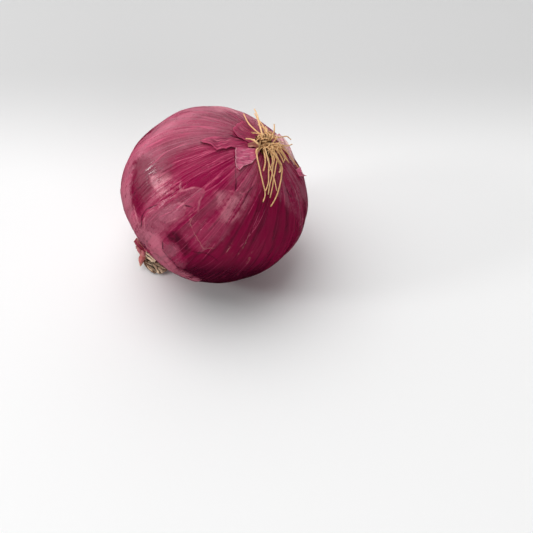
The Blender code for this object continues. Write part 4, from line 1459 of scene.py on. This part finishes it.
# %% Material: straw
STRAW_LIGHT = (1.000, 0.680, 0.360)
STRAW = (0.880, 0.460, 0.190)
STRAW_BROWN = (0.230, 0.095, 0.035)
straw_material, tree, shader = new_material("rootlet straw", ior=1.45, specular_ior_level=0.25)
fibre_space = attribute(tree, "fibre_space", "Vector")
tone = attribute(tree, "tone")
share = attribute(tree, "share")
stretch = add_node(tree, "ShaderNodeMapping", {"Vector": fibre_space, "Scale": (1.6, 1.6, 0.45)})
grain = noise(tree, stretch.outputs["Vector"], 1.5, 3.0)
straw_colour = over(
    tree, STRAW, STRAW_LIGHT, calc(tree, "MULTIPLY", tone, fade(tree, grain, 0.30, 0.62, 0.45, 1.0)),
)
straw_colour = over(tree, straw_colour, STRAW_BROWN, fade(tree, grain, 0.54, 0.74, 0.0, 0.40))
run = add_node(tree, "ShaderNodeSeparateXYZ", {"Vector": fibre_space}).outputs["Z"]
# painted shade: each rootlet turns brown near the plate, where they crowd
straw_colour = over(tree, straw_colour, STRAW_BROWN, fade(tree, run, 4.5, 0.5, 0.0, 0.85))
straw_colour = over(tree, straw_colour, STRAW_BROWN, fade(tree, share, 0.96, 1.0, 0.0, 0.35))
finish_material(
    tree, shader, straw_colour, fade(tree, grain, 0.3, 0.7, 0.5, 0.68),
    calc(tree, "MULTIPLY", grain, 0.16),
)

points, faces, fields = tube_bundle(seen_paths, seen_radii, ROOTLET_SIDES, seen_tones)
make_piece("long_rootlets", points, faces, fields, straw_material, "root_tuft")
points, faces, fields = tube_bundle(rule_paths, rule_radii, ROOTLET_SIDES, rule_tones_shaded_low)
make_piece("rootlets", points, faces, fields, straw_material, "root_tuft")

# %% [markdown]
# ## Root plate
#
# The plate is a low dome of cork, dark brown in the gaps between the rootlets. It is a polar grid:
# the height falls from the middle to the rim, and cracked noise roughens it.

# %% Root plate
PLATE_RADIUS = 0.0064
PLATE_HEIGHT = 0.0021
PLATE_RINGS = 26
PLATE_COLUMNS = 72
CORK_DARK = (0.045, 0.018, 0.010)
CORK_BROWN = (0.190, 0.090, 0.035)
CORK_TAN = (0.420, 0.250, 0.110)

radius, turn = np.meshgrid(
    np.linspace(0.02, 1.0, PLATE_RINGS), np.arange(PLATE_COLUMNS) / PLATE_COLUMNS * math.tau,
    indexing="ij",
)
lumps = wobble(5 * radius * np.cos(turn), 41) * wobble(5 * radius * np.sin(turn) + 2.0, 42)
dome = PLATE_HEIGHT * (1.0 - radius**2.6) * (1.0 + 0.25 * lumps)
ragged_rim = PLATE_RADIUS * (1.0 + 0.10 * np.sin(7 * turn) * np.sin(3 * turn + 1.0) + 0.05 * np.sin(19 * turn)) * radius
top = np.stack([ragged_rim * np.cos(turn), ragged_rim * np.sin(turn), ROOT_SEAT + 0.0003 + dome], axis=-1)
base = top[-1].copy()
base[:, 2] = ROOT_SEAT - 0.0004
plate_points = np.concatenate([top.reshape(-1, 3), base, [[0, 0, top[0, :, 2].mean()]], [[0, 0, ROOT_SEAT - 0.0004]]])
plate_faces = grid_faces(PLATE_RINGS + 1, PLATE_COLUMNS, wrap=True)
middle, below, last = len(plate_points) - 2, len(plate_points) - 1, PLATE_RINGS * PLATE_COLUMNS
plate_faces += [(middle, k, (k + 1) % PLATE_COLUMNS) for k in range(PLATE_COLUMNS)]
plate_faces += [(below, last + (k + 1) % PLATE_COLUMNS, last + k) for k in range(PLATE_COLUMNS)]

cork_material, tree, shader = new_material("cork of the root plate", ior=1.45, specular_ior_level=0.15)
place = object_place(tree)
cork_noise = noise(tree, place, 900.0, 4.0)
cork_colour = over(tree, CORK_DARK, CORK_BROWN, fade(tree, cork_noise, 0.42, 0.62))
cork_colour = over(tree, cork_colour, CORK_TAN, fade(tree, cork_noise, 0.60, 0.74, 0.0, 0.8))
finish_material(
    tree, shader, cork_colour, fade(tree, cork_noise, 0.3, 0.7, 0.75, 0.95),
    calc(tree, "MULTIPLY", cork_noise, 0.9),
)
make_piece(
    "root_plate", to_world(plate_points), plate_faces, {}, cork_material, "root_tuft",
)

# %% Dry husk beside the plate
HUSK_TAN = (0.430, 0.150, 0.130)
HUSK_LIGHT = (0.700, 0.430, 0.280)
HUSK_LOWER = ((258.5, 149.5), (255, 149.2), (251.5, 148.6), (248.4, 148.2))
HUSK_UPPER = ((258.5, 143.5), (255, 143.0), (251.5, 143.6), (248.4, 144.6))
husk_material, tree, shader = new_material("dry husk", ior=1.45, specular_ior_level=0.2)
sheet_place = attribute(tree, "sheet_place", "Vector")
stretch = add_node(tree, "ShaderNodeMapping", {"Vector": sheet_place, "Scale": (1.0, 0.15, 1.0)})
husk_veins = noise(tree, stretch.outputs["Vector"], 1.2, 3.0)
husk_colour = over(tree, HUSK_TAN, HUSK_LIGHT, fade(tree, husk_veins, 0.45, 0.65))
husk_colour = over(tree, husk_colour, COLLAR_DARK, fade(tree, husk_veins, 0.42, 0.28, 0.0, 0.7))
finish_material(
    tree, shader, husk_colour, fade(tree, husk_veins, 0.3, 0.7, 0.55, 0.7),
    calc(tree, "MULTIPLY", husk_veins, 0.3),
)
ruled = ruled_places(
    picture_line(HUSK_LOWER), picture_line(HUSK_UPPER), 30, 24, bow=0.8, fray=0.5, seed=51,
)
places, s, t, _ = ruled
make_scrap(
    "root_husk", ruled, 1.0 + 0.6 * t * (1 - t) + 0.25 * np.cos(6 * s) * t, SHEET_THICKNESS,
    husk_material, "root_tuft",
)

# %% [markdown]
# ## Neck
#
# Where the leaves have withered, the neck is a stub of shrivelled leaf bases, tan to black, inside a
# torn collar of red scales. Each leaf or scale is a blade: a sheet that stands up from its foot,
# flares out, ends in a torn tip, and is hollow and crumpled. The blades use the solid model's seeds
# and sizes, so they stand where its blades stand, with finer grids, creases and thin edges.

# %% Blades of the neck
TORN_LON = math.radians(-80.0)
TORN_WIDTH = math.radians(150.0)
SPREAD_REACH = math.radians(36.0)
STUB_RADIUS = 0.0074
COLLAR_INNER = 0.0082
COLLAR_OUTER = 0.0091
COLLAR_HEIGHT = 0.0026
NECK_FOOT = NECK_SEAT + 0.0003
NECK_SEED = 6
LEAF_COUNT = 14
SCALE_COUNT = 7
BLADE_ROWS = 40
BLADE_COLUMNS = 22
BLADE_THICKNESS = 0.00025


def bend_neck(points):
    """Bends the neck away from the table, by the square of the distance along it."""
    bent = points.copy()
    bent[..., 0] -= BEND_RATE * np.maximum(-points[..., 2] - BEND_START, 0.0) ** 2
    return bent


def blade_points(rng, lon, foot_radius, foot_depth, size, crease, seed):
    """Grid of a blade in the onion's own axes. At a share t of its length it stands out from the
    axis by its foot plus a flare, its sides are hollowed by the square of the way across, its tip is
    notched, and creases along it, of a height in millimetres, grow towards the tip."""
    length, width, flare, curl = size
    notch, phase = rng.uniform(0.1, 0.3), rng.uniform(0.0, 6.3)
    t, s = np.meshgrid(np.linspace(0, 1, BLADE_ROWS), np.linspace(0, 1, BLADE_COLUMNS), indexing="ij")
    side = 2.0 * s - 1.0
    torn = 1.0 - 0.6 * notch * (0.5 + 0.5 * np.cos(9.0 * s + phase)) * t + 0.06 * wobble(9.0 * s, seed) * t**3
    along = t * torn
    creases = crease * MM * wobble(7.0 * s + 1.5 * t, seed + 1) * smooth_step(2.0 * t)
    out = foot_radius + flare * along**1.6 + 0.25 * width * (side**2 - 0.5) * t * 0.5 + creases
    down = foot_depth + length * along - curl * along**3
    half = 0.5 * width * (1.0 - 0.35 * t**4 + 0.06 * wobble(4.0 * t + 5.0 * (side > 0), seed + 2))
    turn = lon + side * half / np.maximum(out, 0.5 * foot_radius)
    points = bend_neck(np.stack([out * np.cos(turn), out * np.sin(turn), -down], axis=-1))
    place = np.stack([s * width / MM, t * length / MM, np.full_like(s, seed)], axis=-1)
    rim = np.minimum(np.minimum(s, 1 - s) * width, (1 - t) * length) / MM
    return points, {"sheet_place": place, "rim": rim, "share": t}


def blade_body(points, fields, tone):
    """Closes a blade into a body with its fields, above the table."""
    world_points = to_world(points)
    middle = points.copy()
    middle[..., :2] = 0.0
    outward = world_points - to_world(bend_neck(middle))
    return neck_body(world_points, outward, fields, tone, 0.0)


def neck_body(grid, outward, fields, tone, warm):
    """Closes a sheet of the neck, and gives all of it one tone and one warmth."""
    body, faces, fields = closed_sheet(grid, BLADE_THICKNESS, outward, fields)
    fields.update(tone=np.full(len(body), tone), warm=np.full(len(body), warm))
    return rest_on_table(body), faces, fields


def join_bodies(bodies):
    """One mesh from several bodies."""
    faces, start = [], 0
    for points, own_faces, _ in bodies:
        faces += [tuple(corner + start for corner in face) for face in own_faces]
        start += len(points)
    fields = {key: np.concatenate([body[2][key] for body in bodies]) for key in bodies[0][2]}
    return np.concatenate([body[0] for body in bodies]), faces, fields


print("blade helpers ready")

# %% Material: withered leaf
LEAF_CREAM = (0.950, 0.730, 0.510)
LEAF_TAN = (0.500, 0.300, 0.180)
LEAF_BROWN = (0.130, 0.055, 0.034)
LEAF_BLACK = (0.022, 0.012, 0.009)
leaf_material, tree, shader = new_material("withered leaf", ior=1.45, specular_ior_level=0.18)
sheet_place = attribute(tree, "sheet_place", "Vector")
tone = attribute(tree, "tone")
stretch = add_node(tree, "ShaderNodeMapping", {"Vector": sheet_place, "Scale": (1.0, 0.16, 1.0)})
leaf_veins = noise(tree, stretch.outputs["Vector"], 1.05, 3.0)
leaf_blotch = noise(tree, sheet_place, 0.45, 3.0)
leaf_colour = over(tree, LEAF_BROWN, LEAF_CREAM, tone)
leaf_colour = over(tree, leaf_colour, LEAF_TAN, fade(tree, leaf_blotch, 0.46, 0.64, 0.0, 0.40))
leaf_colour = over(tree, leaf_colour, LEAF_CREAM, fade(tree, leaf_veins, 0.53, 0.64, 0.0, 0.85))
leaf_colour = over(tree, leaf_colour, LEAF_BLACK, fade(tree, leaf_veins, 0.49, 0.41, 0.0, 0.96))
# painted shade: each blade turns black towards its foot, deep in the neck
leaf_colour = over(
    tree, leaf_colour, LEAF_BLACK, fade(tree, attribute(tree, "share"), 0.45, 0.0, 0.0, 0.9),
)
finish_material(
    tree, shader, leaf_colour, fade(tree, leaf_veins, 0.3, 0.7, 0.6, 0.85),
    calc(tree, "MULTIPLY", leaf_veins, 0.5),
)

# %% Material: neck scale
SCALE_CRIMSON = (0.250, 0.012, 0.045)
SCALE_PINK = (0.560, 0.180, 0.210)
SCALE_TAN = (0.640, 0.400, 0.240)
SCALE_ORANGE = (0.620, 0.170, 0.150)
scale_material, tree, shader = new_material("neck scale", ior=1.45, specular_ior_level=0.22)
sheet_place = attribute(tree, "sheet_place", "Vector")
tone = attribute(tree, "tone")
stretch = add_node(tree, "ShaderNodeMapping", {"Vector": sheet_place, "Scale": (1.0, 0.18, 1.0)})
scale_veins = noise(tree, stretch.outputs["Vector"], 1.8, 3.0)
scale_blotch = noise(tree, sheet_place, 0.40, 3.0)
scale_colour = over(tree, SCALE_CRIMSON, SCALE_PINK, tone)
scale_colour = over(tree, scale_colour, SCALE_ORANGE, attribute(tree, "warm"))
scale_colour = over(tree, scale_colour, SCALE_CRIMSON, fade(tree, scale_blotch, 0.52, 0.70, 0.0, 0.65))
scale_colour = over(tree, scale_colour, SCALE_PINK, fade(tree, scale_veins, 0.52, 0.70, 0.0, 0.6))
scale_colour = over(tree, scale_colour, SCALE_TAN, fade(tree, attribute(tree, "rim"), 0.5, 0.0, 0.0, 0.4))
tan_tip = calc(tree, "MULTIPLY", fade(tree, attribute(tree, "tip"), 0.72, 0.95), attribute(tree, "warm"))
scale_colour = over(tree, scale_colour, SCALE_TAN, tan_tip)
finish_material(
    tree, shader, scale_colour, fade(tree, scale_veins, 0.3, 0.7, 0.45, 0.6),
    calc(tree, "MULTIPLY", scale_veins, 0.35),
)

# %% Leaves in the neck
rng = np.random.default_rng(NECK_SEED)
leaves = []
for k in range(LEAF_COUNT):
    lon = TORN_LON + math.tau * (k + rng.uniform(-0.25, 0.25)) / LEAF_COUNT
    foot_radius = (0.0034 if k % 2 else 0.0054) + rng.uniform(-0.0004, 0.0004)
    spreads = abs(math.remainder(lon - TORN_LON, math.tau)) < SPREAD_REACH
    length, width = rng.uniform(0.0050, 0.0070), rng.uniform(0.0040, 0.0054)
    flare = rng.uniform(0.0048, 0.0070) if spreads else rng.uniform(0.0003, 0.0012)
    size = (length, width, 0.25 * flare if spreads else flare, rng.uniform(0.0, 0.0020))
    points, fields = blade_points(rng, lon, foot_radius, NECK_FOOT + 0.0010, size, 0.55, 60 + 3 * k)
    leaves.append(blade_body(points, fields, 0.10 if spreads else (0.85 if k % 3 else 0.45)))
points, faces, fields = join_bodies(leaves)
make_piece("withered_leaves", points, faces, fields, leaf_material, "neck_core")

# %% Scales round the neck
rng = np.random.default_rng(NECK_SEED + 1)
scales = []
for k in range(SCALE_COUNT):
    share = (k + rng.uniform(-0.15, 0.15)) / (SCALE_COUNT - 1)
    lon = TORN_LON + 0.5 * TORN_WIDTH + math.radians(20.0) + (math.tau - TORN_WIDTH - math.radians(40.0)) * share
    far_side = math.sin(math.pi * np.clip(share, 0.0, 1.0)) ** 2
    size = (
        rng.uniform(0.0036, 0.0052) + 0.0016 * far_side, rng.uniform(0.0058, 0.0078),
        rng.uniform(0.0004, 0.0016) + 0.0024 * far_side, rng.uniform(0.0, 0.0020),
    )
    points, fields = blade_points(
        rng, lon, COLLAR_INNER + 0.0001, NECK_FOOT + 0.0014, size, 0.35, 120 + 3 * k,
    )
    scales.append(blade_body(points, fields, 0.35 + 0.6 * (k % 2)))
points, faces, fields = join_bodies(scales)
make_piece("torn_scales", points, faces, fields, scale_material, "neck_scales")


# %% Leaves and scales seen in the picture
def from_picture_at(knots):
    """World points where lines of sight through picture places pass a height over the table. A knot
    is picture x, picture y and that height in millimetres."""
    knots = np.asarray(knots, float)
    sight = sight_lines(knots[:, :2])
    return CAMERA_PLACE + ((knots[:, 2] * MM - CAMERA_PLACE[2]) / sight[:, 2])[:, None] * sight


def neck_sheet(first, second, bulge, crumple, seed, tone, warm=0.0):
    """A closed sheet between two edges read off the picture: ruled from one to the other, pushed out
    by a bulge, and crumpled by waves; bulge and crumple are in millimetres."""
    t, s = np.meshgrid(np.linspace(0, 1, BLADE_ROWS), np.linspace(0, 1, BLADE_COLUMNS), indexing="ij")
    near, far = smooth_path(from_picture_at(first), BLADE_ROWS), smooth_path(
        from_picture_at(second), BLADE_ROWS,
    )
    width = np.linalg.norm(far - near, axis=-1)[:, None]
    length = np.linalg.norm(near[-1] - near[0])
    ragged_s = s + 0.10 * (2.0 * s - 1.0) ** 3 * wobble(t * length / MM / 1.4 + 4.0 * (s > 0.5), seed)
    grid = near[:, None] + ragged_s[..., None] * (far - near)[:, None]
    towards_camera = CAMERA_PLACE / np.linalg.norm(CAMERA_PLACE)
    folds = wobble(7.0 * s + 2.0 * t, seed + 1) + 0.8 * wobble(6.0 * t - 2.0 * s, seed + 2)
    lift = bulge * np.sin(math.pi * s) * np.sin(math.pi * np.clip(0.15 + 0.7 * t, 0, 1)) + crumple * folds
    grid = grid + (lift * MM)[..., None] * towards_camera
    outward = np.broadcast_to(towards_camera, grid.shape)
    place = np.stack([s * width / MM, t * length / MM, np.full_like(s, seed)], axis=-1)
    rim = np.minimum(np.minimum(s, 1 - s) * width, np.minimum(t, 1 - t) * length) / MM
    fields = {"sheet_place": place, "rim": rim, "share": np.ones_like(s), "tip": t}
    return neck_body(grid, outward, fields, tone, warm)


SEEN_SCALES = (
    # first edge, second edge, bulge, crumple, seed, tone, warm
    (
        ((136.4, 237.6, 12.0), (139, 243, 11.0), (144, 248, 9.5), (149, 253, 8.0)),
        ((133.7, 241.5, 10.5), (136.5, 246.5, 9.0), (141, 251, 7.5), (147, 255, 6.5)), 0.9, 0.22, 201,
        0.0, 0.0,
    ),
    (
        ((137.8, 246.6, 9.4), (141.5, 249.6, 8.6), (145, 252.5, 7.6)),
        ((136.6, 250.4, 8.0), (139.8, 254.0, 7.0), (144, 256.0, 6.2)), 1.0, 0.12, 204, 0.75, 0.1,
    ),
    (
        ((141.5, 248.6, 9.0), (144, 250.4, 8.4), (146.4, 252.0, 7.8)),
        ((141, 255.0, 7.2), (143.5, 256.6, 6.8), (146.2, 256.8, 6.4)), 1.0, 0.12, 207, 0.9, 0.2,
    ),
    (
        ((139.8, 254.2, 6.8), (138.4, 257.5, 5.6), (138.9, 261.5, 4.0), (140.0, 266.4, 2.0)),
        ((145.2, 256, 6.4), (145.4, 259, 5.2), (143.8, 262, 3.6), (140.8, 266.4, 2.0)), 1.2, 0.14, 210,
        0.9, 0.75,
    ),
)
SEEN_LEAVES = (
    (
        ((144.0, 255.5, 4.4), (147, 257.5, 4.0), (151, 260, 3.6), (155, 262, 3.2)),
        ((143.6, 262.5, 2.8), (146.5, 265, 2.2), (150.5, 267, 1.8), (155, 268.5, 1.4)), 0.2, 0.05, 218,
        0.0,
    ),
    (
        ((146.3, 249.4, 11.0), (150, 252.2, 10.2), (154, 255.4, 9.2), (158, 258.4, 8.0)),
        ((145.6, 256.6, 8.4), (147.8, 259.4, 7.4), (151, 261.4, 6.8), (154.5, 262.4, 6.2)), 0.6, 0.12,
        221, 1.0,
    ),
    (
        ((145.5, 260.5, 4.5), (149, 263, 4.0), (153, 264.5, 3.6), (157, 265, 3.4)),
        ((146, 265.4, 2.5), (149.5, 268.4, 2.0), (153.5, 271, 1.6), (157.5, 272.5, 1.3)), 0.8, 0.55, 224,
        0.25,
    ),
    (
        ((152, 262.5, 4.4), (157, 263.5, 4.0), (163, 265.5, 3.2), (169.5, 268, 2.2)),
        ((152, 268.5, 2.0), (156, 272, 1.4), (160.6, 274.6, 0.9), (166, 271.5, 1.2)), 0.8, 0.60, 227, 0.2,
    ),
    (
        ((148.5, 261.2, 5.0), (153, 263.6, 4.6), (157, 267.6, 3.6), (160, 271.5, 2.6)),
        ((147.8, 263.2, 4.6), (151.6, 266.4, 4.0), (155.2, 270, 3.0), (158, 273.2, 2.0)), 0.6, 0.30, 230,
        0.9,
    ),
    (
        ((157.6, 266.4, 3.8), (162, 267.2, 3.4), (165.6, 268.8, 2.8)),
        ((158.5, 270.4, 2.8), (162, 273.0, 1.8), (165.0, 271.6, 1.9)), 0.6, 0.18, 233, 0.65,
    ),
    (
        ((144.5, 261.5, 4.0), (148, 266, 2.8), (152, 270, 2.0), (156, 272.6, 1.4)),
        ((143.6, 263.4, 3.4), (146.8, 268.0, 2.0), (151, 271.8, 1.2), (155, 273.8, 0.8)), 0.3, 0.14, 236,
        0.05,
    ),
    (
        ((149.5, 259.6, 5.4), (153, 261.2, 5.0), (157.5, 262.6, 4.6), (163, 264.2, 3.8)),
        ((150.5, 262.6, 4.8), (154, 264.4, 4.2), (158.5, 266.2, 3.8), (163, 267.6, 3.2)), 0.6, 0.45, 239,
        0.45,
    ),
)
points, faces, fields = join_bodies([neck_sheet(*sheet) for sheet in SEEN_SCALES])
make_piece("folded_scales", points, faces, fields, scale_material, "neck_scales")
points, faces, fields = join_bodies([neck_sheet(*sheet) for sheet in SEEN_LEAVES])
make_piece("crumpled_leaves", points, faces, fields, leaf_material, "neck_core")


# %% Stub and collar under the blades
def turned_points(profile, columns, ripple, seed):
    """A profile of (distance from the axis, depth) turned round the axis, its radius rippled."""
    profile = np.array(profile)
    turn = np.arange(columns) / columns * math.tau
    rippled = 1.0 + ripple * wobble(6.0 * np.sin(turn) + 4.0 * np.cos(turn), seed)
    radius = profile[:, :1] * rippled
    depth = np.broadcast_to(-profile[:, 1:], radius.shape)
    return bend_neck(np.stack([radius * np.cos(turn), radius * np.sin(turn), depth], axis=-1))


STUB_PROFILE = ((0.03, 0.0), (0.98, 0.0), (1.0, 0.0006), (0.95, 0.0020), (0.62, 0.0036), (0.03, 0.0042))
stub_profile = [(share * STUB_RADIUS, NECK_FOOT + depth) for share, depth in STUB_PROFILE]
stub_points = turned_points(stub_profile, 64, 0.05, 71)
stub_faces = list(grid_faces(len(stub_profile), 64, wrap=True))
stub_faces += [tuple(range(64)), tuple(range(5 * 64, 6 * 64))[::-1]]
flat = np.ones(stub_points.shape[:2]).ravel()
place = np.stack(
    [np.arctan2(stub_points[..., 1], stub_points[..., 0]).ravel() * 7.0, -stub_points[..., 2].ravel() / MM, flat],
    axis=-1,
)
# a share of 0.2 darkens the stub with the neck's painted shade
fields = {"sheet_place": place, "share": 0.2 * flat, "tone": 0.1 * flat}
make_piece(
    "neck_stub", rest_on_table(to_world(stub_points)), stub_faces, fields, leaf_material, "neck_core",
)

COLLAR_TOP = NECK_FOOT + COLLAR_HEIGHT
collar_profile = (
    (COLLAR_INNER, NECK_FOOT), (COLLAR_OUTER, NECK_FOOT), (COLLAR_OUTER, NECK_FOOT + 0.0012),
    (0.97 * COLLAR_OUTER, COLLAR_TOP), (COLLAR_INNER, COLLAR_TOP),
)
collar_points = turned_points(collar_profile, 96, 0.03, 77)
count = len(collar_profile)
index = np.arange(count * 96).reshape(count, 96)
closed = np.stack(
    [index, np.roll(index, -1, axis=1), np.roll(np.roll(index, -1, axis=1), -1, axis=0), np.roll(index, -1, axis=0)],
    axis=-1,
)
flat = np.ones(collar_points.shape[:2]).ravel()
place = np.stack(
    [np.arctan2(collar_points[..., 1], collar_points[..., 0]).ravel() * 9.0, -collar_points[..., 2].ravel() / MM, flat],
    axis=-1,
)
fields = {"sheet_place": place, "rim": 3.0 * flat, "tone": 0.3 * flat, "warm": 0.0 * flat}
make_piece(
    "neck_collar", rest_on_table(to_world(collar_points)), closed[..., ::-1].reshape(-1, 4).tolist(),
    fields, scale_material, "neck_scales",
)

# %% Finish
print("scene built")
